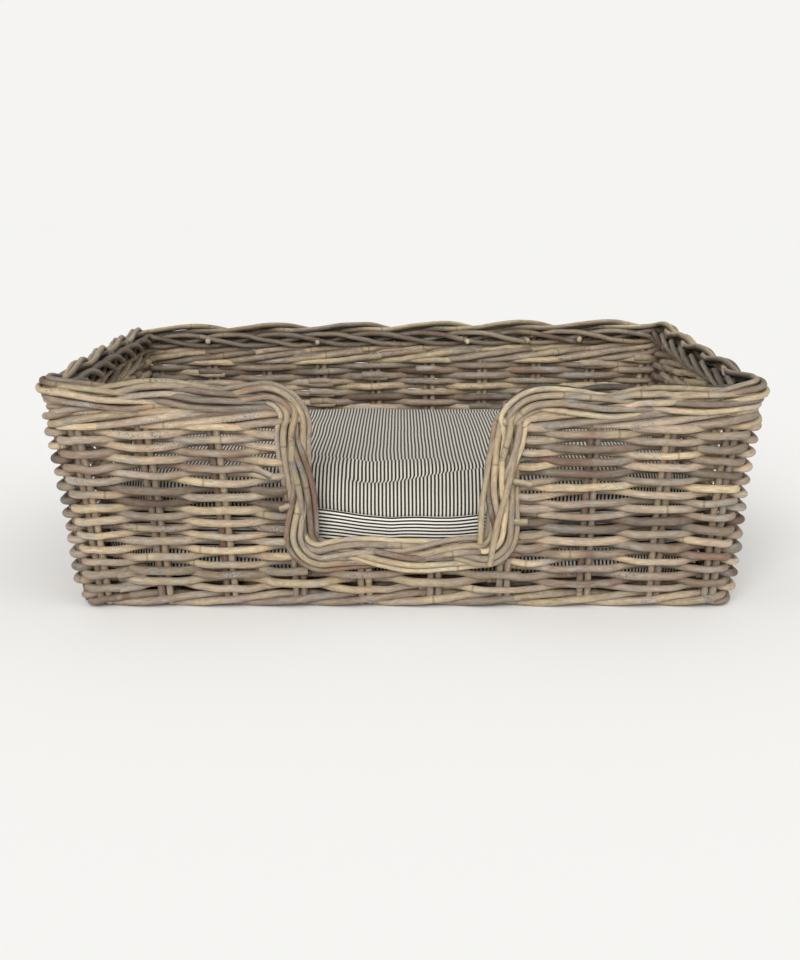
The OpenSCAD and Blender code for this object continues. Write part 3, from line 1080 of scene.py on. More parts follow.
@dataclass
class EdgeProfile:
    """Half a section through a cushion panel, from its middle over the rolled edge down to the seam."""

    half: float
    roll: float
    pull: float
    square: float = 0.62

    def sample(self, count: int) -> tuple[np.ndarray, np.ndarray, np.ndarray]:
        """Places along the whole section at equal lengths of cloth.

        The edge is a superellipse: out by roll * sin(t) ** square and down by cos(t) ** square, for t
        from 0 to a quarter turn, pulled in again by the seam over its last part.

        Args:
            count: number of places from one seam to the other.

        Returns:
            The places across, the share of the full rise there, and the lengths of cloth.
        """
        t = np.linspace(0, math.pi / 2, 400)
        across = self.half - self.roll + self.roll * np.sin(t) ** self.square
        across = across - self.pull * smoothstep(t, 0.55 * math.pi / 2, math.pi / 2) ** 2
        rise = np.cos(t) ** self.square
        across = np.concatenate([np.linspace(0, self.half - self.roll, 300)[:-1], across])
        rise = np.concatenate([np.ones(299), rise])
        across = np.concatenate([-across[:0:-1], across])
        rise = np.concatenate([rise[:0:-1], rise])
        steps = np.hypot(np.diff(across), np.diff(rise) * self.roll)
        along = np.concatenate([[0.0], np.cumsum(steps)])
        wanted = np.linspace(0, along[-1], count)
        return np.interp(wanted, along, across), np.interp(wanted, along, rise), wanted - along[-1] / 2


@dataclass(frozen=True)
class Fold:
    """A crease in a panel, from one place on its cloth to another, and how much cloth it swallows."""

    start: tuple[float, float]
    end: tuple[float, float]
    depth: float
    tuck: float
    width: float = 6.5 * MM

    def across(self, cloth: np.ndarray) -> tuple[np.ndarray, np.ndarray]:
        """Signed distance behind the crease, and how strongly it acts there.

        Args:
            cloth: places on the panel's cloth, the last axis being across and along.

        Returns:
            The distances, and shares from 0 past the crease's ends to 1 along its middle.
        """
        start, end = np.array(self.start), np.array(self.end)
        length = float(np.linalg.norm(end - start))
        way = (end - start) / length
        offset = cloth - start
        along = offset @ way
        share = smoothstep(along, -12 * MM, 25 * MM) * smoothstep(length - along, -12 * MM, 25 * MM)
        return offset @ np.array([-way[1], way[0]]), share


@dataclass
class TickingCushion:
    """A boxed cushion: top panel, boxing strip and bottom panel, sewn round a soft filling."""

    half_w: float = 350 * MM
    half_d: float = 252.5 * MM
    floor_z: float = 28.6 * MM
    seam_lo: float = 65.7 * MM
    seam_hi: float = 112.5 * MM
    top_z: float = 147 * MM
    columns: int = 181
    rows: int = 161
    strips: int = 12
    corner: float = 15 * MM
    cloth_t: float = 1.4 * MM
    top_roll: float = 30 * MM
    bottom_roll: float = 24 * MM
    crown: float = 4 * MM
    back_drop: float = 4.5 * MM
    bulge: float = 2.3 * MM
    zip_z: float = 86 * MM
    settle_frames: int = 18
    swell_limit: float = 8 * MM
    sag_mm: tuple = (
        (-260, 2), (-180, 2.5), (-95, 2.6), (-60, -1.2), (-10, -6), (40, -6.1), (95, -3.4),
        (160, -0.5), (260, 1),
    )
    folds: tuple[Fold, ...] = (
        Fold((-0.150, -0.132), (-0.028, -0.192), 4.4 * MM, 2.2 * MM),
        Fold((-0.042, -0.192), (0.042, -0.159), 2.4 * MM, 1.0 * MM),
        Fold((-0.060, -0.234), (0.148, -0.192), 5.4 * MM, -2.3 * MM),
        Fold((0.150, -0.190), (0.262, -0.212), 2.8 * MM, 1.2 * MM),
        Fold((-0.255, -0.232), (-0.110, -0.205), 3.4 * MM, 1.6 * MM),
        Fold((0.060, 0.150), (0.170, 0.205), 3.0 * MM, 1.2 * MM),
        Fold((-0.200, 0.190), (-0.075, 0.165), 2.6 * MM, 1.0 * MM),
        Fold((0.190, -0.050), (0.300, -0.150), 2.6 * MM, 1.0 * MM),
    )

    def sag(self, x: np.ndarray, y: np.ndarray) -> np.ndarray:
        """How far the front seams stand above their own line: mostly a shallow dip at the middle."""
        front = smoothstep(-y, self.half_d - 60 * MM, self.half_d - 20 * MM)
        places, rises = np.array(self.sag_mm).T
        drop = np.interp(x, places * MM, rises)
        ripple = 0.35 * np.sin(x / 0.021 + 1.0) + 0.25 * np.sin(x / 0.0125)
        return MM * front * (drop + ripple)

    def panel(self, seam: float, far: float, roll: float) -> tuple[np.ndarray, np.ndarray]:
        """One panel as a grid: the section across times the section along.

        Height is seam + (far - seam) * rise across * rise along. Corners are drawn in by up to 'corner'.

        Args:
            seam: height of its seam.
            far: height of its flat part.
            roll: how far in from the edge it turns.

        Returns:
            Points (rows, columns, 3) and cloth lengths (rows, columns, 2).
        """
        x, rise_x, cloth_x = EdgeProfile(self.half_w, roll, 5 * MM).sample(self.columns)
        y, rise_y, cloth_y = EdgeProfile(self.half_d, roll, 5 * MM).sample(self.rows)
        x, y = np.meshgrid(x, y)
        rise = rise_y[:, None] * rise_x[None, :]
        near_x = smoothstep(np.abs(x), self.half_w - 95 * MM, self.half_w)
        near_y = smoothstep(np.abs(y), self.half_d - 95 * MM, self.half_d)
        draw_in = self.corner * near_x * near_y
        points = np.stack(
            [x - np.sign(x) * draw_in, y - np.sign(y) * draw_in, seam + (far - seam) * rise], axis=-1
        )
        return points, np.stack(np.meshgrid(cloth_x, cloth_y), axis=-1)

    def crease(self, points: np.ndarray, cloth: np.ndarray) -> tuple[np.ndarray, np.ndarray]:
        """Presses the folds into a panel and takes up the cloth that they swallow.

        Across a fold the cloth goes down by depth * exp(-(d / width)^2), with a soft lip of about half
        that in front of it. Behind it the pattern is shifted by 'tuck', which dies out further away.
        Slow waves of up to about 2 mm go over the whole panel, and fine puckers run along its seams.

        Args:
            points: the panel's points (rows, columns, 3).
            cloth: its cloth lengths (rows, columns, 2).

        Returns:
            The creased points and the shifted cloth lengths.
        """
        step_x = np.gradient(points, axis=1)
        step_y = np.gradient(points, axis=0)
        normal = unit(np.cross(step_x, step_y))
        depth = np.zeros(points.shape[:2])
        shift = np.zeros(points.shape[:2])
        for fold in self.folds:
            away, share = fold.across(cloth)
            lip = 0.55 * np.exp(-(((away + 1.7 * fold.width) / (1.6 * fold.width)) ** 2))
            depth += fold.depth * share * (lip - np.exp(-((away / fold.width) ** 2)))
            behind = 0.5 * (1 + np.tanh(away / (1.2 * MM))) * np.exp(-np.maximum(away, 0) / 0.09)
            shift += fold.tuck * share * behind
        x, y = cloth[..., 0], cloth[..., 1]
        waves = 0.9 * np.sin(x / 0.047 + 3 * y / 0.21) + 0.7 * np.sin(y / 0.036 + x / 0.11 + 1.3)
        waves += 0.5 * np.sin(x / 0.019 + y / 0.052) * np.sin(y / 0.031)
        near = smoothstep(np.abs(y), self.half_d + 2 * MM, self.half_d + 22 * MM)
        near = np.maximum(near, smoothstep(np.abs(x), self.half_w + 2 * MM, self.half_w + 22 * MM))
        pucker = 0.55 * near * np.sin(np.where(np.abs(y) > self.half_d - 20 * MM, x, y) / 0.0029)
        points = points + normal * (depth + (waves * (1 - 0.6 * near) + pucker) * MM)[..., None]
        return points, np.stack([x + shift, y], axis=-1)

    def swell(self) -> tuple[np.ndarray, np.ndarray]:
        """Inflates a coarse copy by a cloth simulation and returns how far its two panels moved.

        The cloth is a little too large for its form, so it wrinkles, and pressure fills it from inside.
        No point moves further than swell_limit, so that the cushion stays clear of the walls.

        Returns:
            The moves of the top panel and of the bottom panel, as grids of the full fineness.
        """
        coarse = replace(self, columns=91, rows=67, strips=6, folds=())
        coarse.shape((0.0, 0.0))
        faces = [coarse.faces[part] for part in ("top", "bottom", "boxing")]
        thing = make_mesh("settling_cloth", coarse.vertices, faces, None)
        cloth = thing.modifiers.new("cloth", "CLOTH").settings
        cloth.quality = 7
        cloth.mass = 0.25
        cloth.tension_stiffness = cloth.compression_stiffness = 18.0
        cloth.shear_stiffness = 6.0
        cloth.bending_stiffness = 0.35
        cloth.shrink_min = -0.022
        cloth.use_pressure = True
        cloth.uniform_pressure_force = 0.8
        cloth.effector_weights.gravity = 0.0
        scene = bpy.context.scene
        for frame in range(1, self.settle_frames + 1):
            scene.frame_set(frame)
        graph = bpy.context.evaluated_depsgraph_get()
        flat = np.empty(len(coarse.vertices) * 3)
        thing.evaluated_get(graph).data.vertices.foreach_get("co", flat)
        scene.frame_set(1)
        move = flat.reshape(-1, 3) - coarse.vertices
        bpy.data.objects.remove(thing)
        size = np.linalg.norm(move, axis=1, keepdims=True)
        LOG.info("the cloth moved by up to %.1f mm", 1000 * size.max())
        move *= np.minimum(1.0, self.swell_limit / np.maximum(size, 1e-9))
        count = coarse.rows * coarse.columns
        grids = move[: 2 * count].reshape(2, coarse.rows, coarse.columns, 3)
        return tuple(self.finer(grid) for grid in grids)

    def finer(self, grid: np.ndarray) -> np.ndarray:
        """Spreads a coarse grid of moves over the full one, by smooth steps between its places."""
        for axis, count in ((0, self.rows), (1, self.columns)):
            places = np.linspace(0, grid.shape[axis] - 1, count)
            low = np.minimum(places.astype(int), grid.shape[axis] - 2)
            share = places - low
            shape = [1, 1, 1]
            shape[axis] = count
            share = share.reshape(shape)
            grid = np.take(grid, low, axis) * (1 - share) + np.take(grid, low + 1, axis) * share
            for _ in range(2):
                before = np.take(grid, np.maximum(np.arange(count) - 1, 0), axis)
                after = np.take(grid, np.minimum(np.arange(count) + 1, count - 1), axis)
                grid = (before + 2 * grid + after) / 4
        return grid

    def ring(self) -> np.ndarray:
        """Grid numbers of a panel's seam, anticlockwise from the front left corner."""
        index = np.arange(self.rows * self.columns).reshape(self.rows, self.columns)
        return np.concatenate([index[0, :-1], index[:-1, -1], index[-1, :0:-1], index[:0:-1, 0]])

    def shape(self, moves: tuple) -> None:
        """Works out the whole closed surface: vertices, faces of each cover, and their UVs.

        The top is crowned and falls a little towards the back. The boxing is a straight blend from seam
        to seam that bulges outwards by 4 * bulge * t * (1 - t), with t from 0 at the top seam to 1.

        Args:
            moves: how far the settled cloth has moved the top panel and the bottom panel.
        """
        top, cloth_top = self.panel(self.seam_hi, self.top_z, self.top_roll)
        bottom, cloth_bottom = self.panel(self.seam_lo, self.floor_z, self.bottom_roll)
        crown = (1 - (top[..., 0] / self.half_w) ** 2) * (1 - (top[..., 1] / self.half_d) ** 2)
        lift = (top[..., 2] - self.seam_hi) / (self.top_z - self.seam_hi)
        fall = smoothstep(top[..., 1], 0.08, 0.24)
        top[..., 2] += (crown * self.crown - self.back_drop * fall) * lift
        if self.folds:
            top, cloth_top = self.crease(top, cloth_top)
        top, bottom = top + moves[0], bottom + moves[1]
        bottom[..., 2] = np.maximum(bottom[..., 2], self.floor_z)
        limit = np.array([self.half_w + 3 * MM, self.half_d + 1.5 * MM])
        top, bottom = top.reshape(-1, 3), bottom.reshape(-1, 3)
        top[:, :2] = np.clip(top[:, :2], -limit, limit)
        bottom[:, :2] = np.clip(bottom[:, :2], -limit, limit)
        ring = self.ring()
        size, count = len(top), len(ring)
        grid = np.arange(size).reshape(self.rows, self.columns)
        quads = np.stack([grid[:-1, :-1], grid[:-1, 1:], grid[1:, 1:], grid[1:, :-1]], axis=-1).reshape(-1, 4)
        share = np.linspace(0, 1, self.strips + 1)[1:-1, None, None]
        outline = top[ring]
        around = np.roll(outline, -1, axis=0) - np.roll(outline, 1, axis=0)
        outward = unit(np.stack([around[:, 1], -around[:, 0], np.zeros(count)], axis=1))
        boxing = (1 - share) * outline + share * bottom[ring] + self.bulge * 4 * share * (1 - share) * outward
        between = 2 * size + np.arange((self.strips - 1) * count).reshape(-1, count)
        rings = np.vstack([ring, between, size + ring])
        turned = np.roll(rings, -1, axis=1)
        strip = np.stack([rings[1:], turned[1:], turned[:-1], rings[:-1]], axis=-1).reshape(-1, 4)
        self.vertices = np.vstack([top, bottom, boxing.reshape(-1, 3)])
        self.flatten_and_sag()
        self.faces = {"top": quads, "bottom": quads[:, ::-1] + size, "boxing": strip}
        self.uv = {
            "top": cloth_top.reshape(-1, 2)[quads],
            "bottom": cloth_bottom.reshape(-1, 2)[quads[:, ::-1]],
            "boxing": self.boxing_uv(np.vstack([outline, outline[:1]])),
        }

    def flatten_and_sag(self) -> None:
        """Flattens the back boxing where the zip is sewn in, and lets the front seams sag."""
        x, y, z = self.vertices.T
        back = smoothstep(y, 0.20, 0.23) * (np.abs(x) < 0.32)
        boxed = smoothstep(12 * MM - np.abs(z - self.zip_z), -14 * MM, 0.0) * back
        self.vertices[:, 1] += boxed * np.minimum(self.half_d - 2.7 * MM - y, 0.0)
        self.vertices[:, 2] += self.sag(x, y) * smoothstep(z, self.floor_z, self.seam_lo)

    def boxing_uv(self, outline: np.ndarray) -> np.ndarray:
        """UVs of the boxing's faces: the length down from the top seam, and the length round it."""
        along = lengths_along(outline)
        down = np.linspace(0, self.seam_hi - self.seam_lo, self.strips + 1)
        high, start = np.meshgrid(down[:-1], along[:-1], indexing="ij")
        low, end = np.meshgrid(down[1:], along[1:], indexing="ij")
        corners = np.stack([low, low, high, high, start, end, end, start], axis=-1)
        return np.swapaxes(corners.reshape(-1, 2, 4), 1, 2)

    def cover(self, name: str, part: str, material: bpy.types.Material) -> bpy.types.Object:
        """Cuts one cover out of the closed surface and gives it its cloth thickness inwards.

        Args:
            name: the piece's name.
            part: top, bottom or boxing.
            material: the finish.

        Returns:
            The new object.
        """
        faces = self.faces[part]
        used, numbers = np.unique(faces, return_inverse=True)
        numbered = numbers.reshape(faces.shape)
        thing = make_mesh(name, self.vertices[used], [numbered], material, [self.uv[part]])
        thick = thing.modifiers.new("cloth thickness", "SOLIDIFY")
        thick.thickness = self.cloth_t
        thick.offset = -1.0
        return thing

    def filling(self, material: bpy.types.Material) -> bpy.types.Object:
        """The filling: the same closed surface, drawn in along its normals, and 9 mm at its corners."""
        faces = np.vstack([self.faces["top"], self.faces["bottom"], self.faces["boxing"]])
        points = self.vertices.copy()
        near_x = smoothstep(np.abs(points[:, 0]), self.half_w - 45 * MM, self.half_w)
        near_y = smoothstep(np.abs(points[:, 1]), self.half_d - 45 * MM, self.half_d)
        points[:, :2] -= np.sign(points[:, :2]) * (9 * MM * near_x * near_y)[:, None]
        corners = points[faces]
        across = np.cross(corners[:, 2] - corners[:, 0], corners[:, 3] - corners[:, 1])
        normals = np.zeros_like(points)
        for corner in range(4):
            np.add.at(normals, faces[:, corner], across)
        points -= unit(normals) * (self.cloth_t + 0.6 * MM)
        return make_mesh("cushion_wadding", points, [faces], material)


@dataclass
class Zip:
    """The zip in the back boxing: woven tapes, a coil of teeth and a slider with its pull."""

    middle: np.ndarray
    slider_x: float
    length: float = 430 * MM
    tape_h: float = 24 * MM
    coil_pitch: float = 1.7 * MM

    def plate(self, outline: np.ndarray, near: float, far: float, bevel: float) -> tuple:
        """A flat plate from its outline, with bevelled edges and both faces closed by a fan.

        The rings are the outline shrunk by the bevel, the outline twice, and the shrunk one again.

        Args:
            outline: places (x, z) round the plate, seen from behind the cushion, clockwise.
            near: y of its inner face.
            far: y of its outer face.
            bevel: width of the bevel.

        Returns:
            Vertices and faces, as quads and triangles.
        """
        centre = outline.mean(axis=0)
        inner = outline - unit(outline - centre) * bevel
        depths = ((inner, near), (outline, near + bevel), (outline, far - bevel), (inner, far))
        rings = [np.column_stack([ring[:, 0], np.full(len(ring), y), ring[:, 1]]) for ring, y in depths]
        count = len(outline)
        caps = np.array([[centre[0], near, centre[1]], [centre[0], far, centre[1]]])
        index = np.arange(4 * count).reshape(4, count)
        turned = np.roll(index, -1, axis=1)
        quads = np.stack([index[:-1], index[1:], turned[1:], turned[:-1]], axis=-1).reshape(-1, 4)
        hub = np.full(count, 4 * count)
        triangles = np.vstack(
            [np.stack([hub, index[0], turned[0]], axis=-1), np.stack([hub + 1, turned[3], index[3]], axis=-1)]
        )
        return np.vstack([*rings, caps]), quads, triangles

    def superellipse(self, x: float, z: float, half_w: float, half_h: float, power: float) -> np.ndarray:
        """An outline round a place: cos and sin of the angle, each raised to 2 / power.

        Args:
            x: the middle's place across.
            z: the middle's height.
            half_w: half its width.
            half_h: half its height.
            power: 2 for an ellipse, more for squarer corners.

        Returns:
            Places (x, z) round the outline.
        """
        angle = -np.linspace(0, TURN, 32, endpoint=False)
        across = np.sign(np.cos(angle)) * np.abs(np.cos(angle)) ** (2 / power)
        up = np.sign(np.sin(angle)) * np.abs(np.sin(angle)) ** (2 / power)
        return np.column_stack([x + half_w * across, z + half_h * up])

    def joined(self, name: str, parts: list[tuple], material: bpy.types.Material) -> bpy.types.Object:
        """Joins closed parts, each of vertices, quads and triangles, into one piece."""
        sizes = np.cumsum([0] + [len(part[0]) for part in parts])
        quads = np.vstack([part[1] + base for part, base in zip(parts, sizes)])
        triangles = np.vstack([part[2] + base for part, base in zip(parts, sizes)])
        return make_mesh(name, np.vstack([part[0] for part in parts]), [quads, triangles], material)

    def loop(self, path: np.ndarray, radius: float, face: np.ndarray, sides: int) -> tuple:
        """A wire along a path, closed at its ends, as vertices, quads and triangles."""
        wire = Cane(path, np.full(len(path), radius), np.broadcast_to(face, path.shape), 0, 0, 0, 0)
        vertices, quads, caps, _ = CaneBundle("", sides=sides).tube(wire)
        return vertices, quads, caps

    def tape(self, material: bpy.types.Material) -> bpy.types.Object:
        """Two tapes edge to edge and, over the gap, the coil: a helix squeezed to an oval."""
        x0, y0, z0 = self.middle
        half, near, far = self.length / 2, 0.4 * MM, self.tape_h / 2
        parts = []
        for side in (-1, 1):
            outline = np.array([[-half, near], [half, near], [half, far], [-half, far]])
            outline = outline * [1, side] + [x0, z0]
            parts.append(self.plate(outline[::-side], y0 + 0.1 * MM, y0 + 1.1 * MM, 0.2 * MM))
        turns = self.length / self.coil_pitch
        t = np.linspace(0, turns * TURN, int(turns * 10))
        x = x0 - half + 2 * MM + t / TURN * (self.length - 4 * MM) / turns
        path = np.column_stack([x, y0 + 1.7 * MM + 0.75 * MM * np.sin(t), z0 + 2.3 * MM * np.cos(t)])
        parts.append(self.loop(path, 0.42 * MM, Y_AXIS, 6))
        return self.joined("zip_tape_and_coil", parts, material)

    def slider(self, material: bpy.types.Material) -> bpy.types.Object:
        """The slider: two waisted plates, a bridge, a ring and a hanging pull tab."""
        x, y, z = self.slider_x, self.middle[1], self.middle[2]
        face = y + 3.0 * MM
        half = 7 * MM
        body = self.superellipse(x, z, half, 4.6 * MM, 3.2)
        waist = 1 - 0.16 * np.cos((body[:, 0] - x) / half * math.pi * 0.9)
        body[:, 1] = z + (body[:, 1] - z) * waist
        t = np.linspace(0, math.pi, 24)
        high = face + 1.2 * MM + 2.2 * MM * np.sin(t)
        bridge = np.column_stack([x - 4.2 * MM * np.cos(t), high, np.full_like(t, z)])
        t = np.linspace(0, TURN, 28)
        high = face + 1.9 * MM + 1.2 * MM * np.sin(t)
        ring = np.column_stack([np.full_like(t, x), high, z - 2.0 * MM + 2.4 * MM * np.cos(t)])
        tab = self.superellipse(x, z - 12.2 * MM, 3 * MM, 8.2 * MM, 4.0)
        rim = self.superellipse(x, z - 16.2 * MM, 2 * MM, 3 * MM, 3.0)
        parts = [
            self.plate(body, face, face + 1.3 * MM, 0.4 * MM),
            self.loop(bridge, 0.9 * MM, UP, 10),
            self.loop(ring, 0.55 * MM, X_AXIS, 8),
            self.plate(tab, face + 1.3 * MM, face + 2.5 * MM, 0.4 * MM),
            self.plate(rim, face + 2.4 * MM, face + 2.8 * MM, 0.15 * MM),
        ]
        return self.joined("zip_slider_brass", parts, material)


# ---------------------------------------------------------------- finishes


@dataclass(frozen=True)
class Rattan:
    """Unpeeled and split rattan, sun-greyed: matt, streaked lengthways, with ringed joints and specks."""

    name: str
    roughness: float = 0.55
    brightness: float = 1.0
    # share by which painted shade darkens the side of each cane that faces in
    painted_groove_shade: float = 0.0
    joint_gap: float = 350 * MM

    def build(self) -> bpy.types.Material:
        """Makes the material from each cane's own values and its UV map.

        Colour is a ramp over the cane's tone plus a slow drift along it. Grey and rust patches go over
        it, then lengthways streaks, mottling and painted shade on the side of the cane that faces in,
        then a pale zone with a thin brown ring at each joint, and brown specks. Rings, grain and mottling
        also dent the surface. Patterns are laid out in metres round and along the cane, at its own depth.
        """
        material, tree, shader = new_material(self.name)
        own = add_node(tree, "Attribute", {"attribute_name": "cane"})
        split = add_node(tree, "SeparateColor", Color=own).node
        tone, value, spots = split.outputs[0], split.outputs[1], split.outputs[2]
        seed = own.node.outputs["Alpha"]
        uv = add_node(tree, "UVMap", {"uv_map": "surface"})
        split_uv = add_node(tree, "SeparateXYZ", Vector=uv).node
        far = add_node(tree, "Math", {"operation": "MULTIPLY"}, in_0=seed, in_1=53.0)
        round_m = add_node(tree, "Math", {"operation": "MULTIPLY"}, in_0=split_uv.outputs[0], in_1=28 * MM)
        place = add_node(tree, "CombineXYZ", X=round_m, Y=split_uv.outputs[1], Z=far)

        noises = {}
        for name, scale, start, detail, rough in (
            ("drift", (30.0, 13.0, 1.0), (0.0, 0.0, 0.0), 2.0, 0.5),
            ("grain", (1500.0, 45.0, 1.0), (0.0, 0.0, 0.0), 3.0, 0.6),
            ("patch", (60.0, 32.0, 3.0), (0.0, 0.0, 0.0), 3.0, 0.55),
            ("rust", (45.0, 18.0, 5.0), (3.0, 9.0, 1.0), 4.0, 0.5),
            ("mottle", (320.0, 120.0, 7.0), (0.0, 0.0, 0.0), 3.0, 0.6),
        ):
            at = add_node(tree, "Mapping", Vector=place, Scale=scale, Location=start)
            noises[name] = add_node(tree, "TexNoise", Vector=at, Scale=1.0, Detail=detail, Roughness=rough)
        drift, grain, patch, mottle = (noises[name] for name in ("drift", "grain", "patch", "mottle"))

        wander = add_node(
            tree, "MapRange", Value=drift, From_Min=0.3, From_Max=0.7, To_Min=-0.16, To_Max=0.16
        )
        tone = add_node(tree, "Math", {"operation": "ADD", "use_clamp": True}, in_0=tone, in_1=wander)
        shades = ("e0cfa9", "d0ba95", "c0aa8e", "ac9b88", "97836f", "7c6151")
        stops = tuple((index / 5, shade) for index, shade in enumerate(shades))
        colour = add_node(tree, "ValToRGB", stops=stops, Fac=tone)
        # Painted shade: a ramp round the cane darkens the side that faces in, towards the band's middle.
        shade_side = add_node(tree, "Math", {"operation": "PINGPONG"}, in_0=split_uv.outputs[0], in_1=0.5)
        for source, low, high, least, most, over in (
            (patch, 0.52, 0.68, 0.0, 0.6, "aaa7a0"),
            (noises["rust"], 0.58, 0.74, 0.0, 0.5, "9c6f50"),
            (grain, 0.3, 0.7, 0.70, 1.16, None),
            (mottle, 0.36, 0.64, 0.80, 1.12, None),
            (shade_side, 0.17, 0.39, 1 - self.painted_groove_shade, 1.0, None),
        ):
            share = add_node(
                tree, "MapRange", Value=source, From_Min=low, From_Max=high, To_Min=least, To_Max=most
            )
            if over:
                colour = add_node(tree, "Mix", OVER, in_0=share, in_6=colour, in_7=srgb(over))
            else:
                colour = add_node(tree, "Mix", MULTIPLY, in_0=1.0, in_6=colour, in_7=share)

        along = split_uv.outputs[1]
        shift = add_node(tree, "Math", {"operation": "MULTIPLY_ADD"}, in_0=seed, in_1=5.7, in_2=along)
        turns = add_node(tree, "Math", {"operation": "PINGPONG"}, in_0=shift, in_1=self.joint_gap / 2)
        ring, pale = (
            add_node(tree, "MapRange", Value=turns, From_Min=near, From_Max=far, To_Min=most, To_Max=0.0)
            for near, far, most in ((0.6 * MM, 1.7 * MM, 0.42), (4 * MM, 20 * MM, 0.28))
        )
        colour = add_node(tree, "Mix", OVER, in_0=pale, in_6=colour, in_7=srgb("d8c59c"))
        colour = add_node(tree, "Mix", OVER, in_0=ring, in_6=colour, in_7=srgb("54402f"))

        speck_at = add_node(tree, "Mapping", Vector=place, Scale=(430.0, 360.0, 1.0))
        speck = add_node(tree, "TexVoronoi", {"feature": "F1"}, Vector=speck_at, Scale=1.0)
        size = add_node(tree, "MapRange", Value=patch, From_Min=0.40, From_Max=0.62, To_Min=0.0, To_Max=0.46)
        size = add_node(tree, "Math", {"operation": "MULTIPLY"}, in_0=size, in_1=spots)
        inside = add_node(tree, "Math", {"operation": "LESS_THAN"}, in_0=speck, in_1=size)
        inside = add_node(tree, "Math", {"operation": "MULTIPLY"}, in_0=inside, in_1=0.62)
        colour = add_node(tree, "Mix", OVER, in_0=inside, in_6=colour, in_7=srgb("4d382a"))

        gain = add_node(tree, "Math", {"operation": "MULTIPLY"}, in_0=value, in_1=self.brightness)
        colour = add_node(tree, "Mix", MULTIPLY, in_0=1.0, in_6=colour, in_7=gain)
        smooth, rough = self.roughness - 0.1, self.roughness + 0.15
        dull = add_node(tree, "MapRange", Value=drift, To_Min=smooth, To_Max=rough)
        relief = add_node(tree, "Math", {"operation": "MULTIPLY_ADD"}, in_0=ring, in_1=-1.2, in_2=grain)
        relief = add_node(tree, "Math", {"operation": "ADD"}, in_0=relief, in_1=mottle)
        bump = add_node(tree, "Bump", Strength=0.7, Distance=0.9 * MM, Height=relief)
        connect(tree, shader, Base_Color=colour, Roughness=dull, Normal=bump)
        return material


@dataclass(frozen=True)
class Ticking:
    """Cotton ticking: a dense matt twill with narrow black stripes on unbleached white."""

    name: str
    white: str = "f0ebdf"
    black: str = "1b191b"
    period: float = 4.28 * MM
    thread: float = 0.5 * MM

    def build(self) -> bpy.types.Material:
        """Makes the material: stripes across the first UV axis, and a raised twill thread."""
        material, tree, shader = new_material(self.name)
        uv = add_node(tree, "UVMap", {"uv_map": "surface"})
        parts = add_node(tree, "SeparateXYZ", Vector=uv).node
        wobble_at = add_node(tree, "Mapping", Vector=uv, Scale=(9.0, 14.0, 1.0))
        wobble = add_node(tree, "TexNoise", Vector=wobble_at, Scale=1.0, Detail=2.0)
        across, along = parts.outputs[0], parts.outputs[1]
        place = add_node(tree, "Math", {"operation": "MULTIPLY_ADD"}, in_0=wobble, in_1=1.2 * MM, in_2=across)
        stripe = add_node(tree, "Math", {"operation": "PINGPONG"}, in_0=place, in_1=self.period / 2)
        edge, soft = self.period * 0.24, self.period * 0.018
        dark = add_node(tree, "MapRange", Value=stripe, From_Min=edge - soft, From_Max=edge + soft)
        colour = add_node(tree, "Mix", OVER, in_0=dark, in_6=srgb(self.white), in_7=srgb(self.black))
        fibre_at = add_node(tree, "Mapping", Vector=uv, Scale=(2400.0, 700.0, 1.0))
        fibre = add_node(tree, "TexNoise", Vector=fibre_at, Scale=1.0, Detail=2.0)
        shade = add_node(tree, "MapRange", Value=fibre, From_Min=0.3, From_Max=0.7, To_Min=0.86, To_Max=1.08)
        colour = add_node(tree, "Mix", MULTIPLY, in_0=1.0, in_6=colour, in_7=shade)
        twill = add_node(tree, "Math", {"operation": "ADD"}, in_0=across, in_1=along)
        twill = add_node(tree, "Math", {"operation": "PINGPONG"}, in_0=twill, in_1=self.thread / 2)
        height = add_node(tree, "Math", {"operation": "MULTIPLY_ADD"}, in_0=twill, in_1=2000.0, in_2=fibre)
        bump = add_node(tree, "Bump", Strength=0.35, Distance=0.3 * MM, Height=height)
        connect(tree, shader, Base_Color=colour, Roughness=0.85, Normal=bump)
        connect(tree, shader, Sheen_Weight=0.1, Sheen_Roughness=0.5)
        return material


@dataclass(frozen=True)
class PlainCloth:
    """A plain pale textile, such as polyester wadding or woven zip tape: matt with soft fibres."""

    name: str
    colour: str
    second: str
    fibre: float
    depth: float

    def build(self) -> bpy.types.Material:
        """Makes the material: two shades mixed by a fibre noise, which also gives the bump."""
        material, tree, shader = new_material(self.name)
        where = add_node(tree, "TexCoord").node.outputs["Object"]
        fibre = add_node(tree, "TexNoise", Vector=where, Scale=1.0 / self.fibre, Detail=3.0)
        colour = add_node(tree, "Mix", OVER, in_0=fibre, in_6=srgb(self.colour), in_7=srgb(self.second))
        bump = add_node(tree, "Bump", Strength=0.5, Distance=self.depth, Height=fibre)
        connect(tree, shader, Base_Color=colour, Roughness=0.9, Sheen_Weight=0.3, Normal=bump)
        return material


@dataclass(frozen=True)
class AntiqueBrass:
    """Plated zinc with a dulled brass colour: metallic, with soft wear and fine casting texture."""

    name: str

    def build(self) -> bpy.types.Material:
        """Makes the material: two brass shades and a roughness that vary with a fine noise."""
        material, tree, shader = new_material(self.name)
        where = add_node(tree, "TexCoord").node.outputs["Object"]
        wear = add_node(tree, "TexNoise", Vector=where, Scale=450.0, Detail=3.0)
        colour = add_node(tree, "Mix", OVER, in_0=wear, in_6=srgb("8d7748"), in_7=srgb("b39a62"))
        rough = add_node(tree, "MapRange", Value=wear, To_Min=0.28, To_Max=0.5)
        bump = add_node(tree, "Bump", Strength=0.2, Distance=0.2 * MM, Height=wear)
        connect(tree, shader, Base_Color=colour, Roughness=rough, Metallic=1.0, Normal=bump)
        return material


# ---------------------------------------------------------------- studio


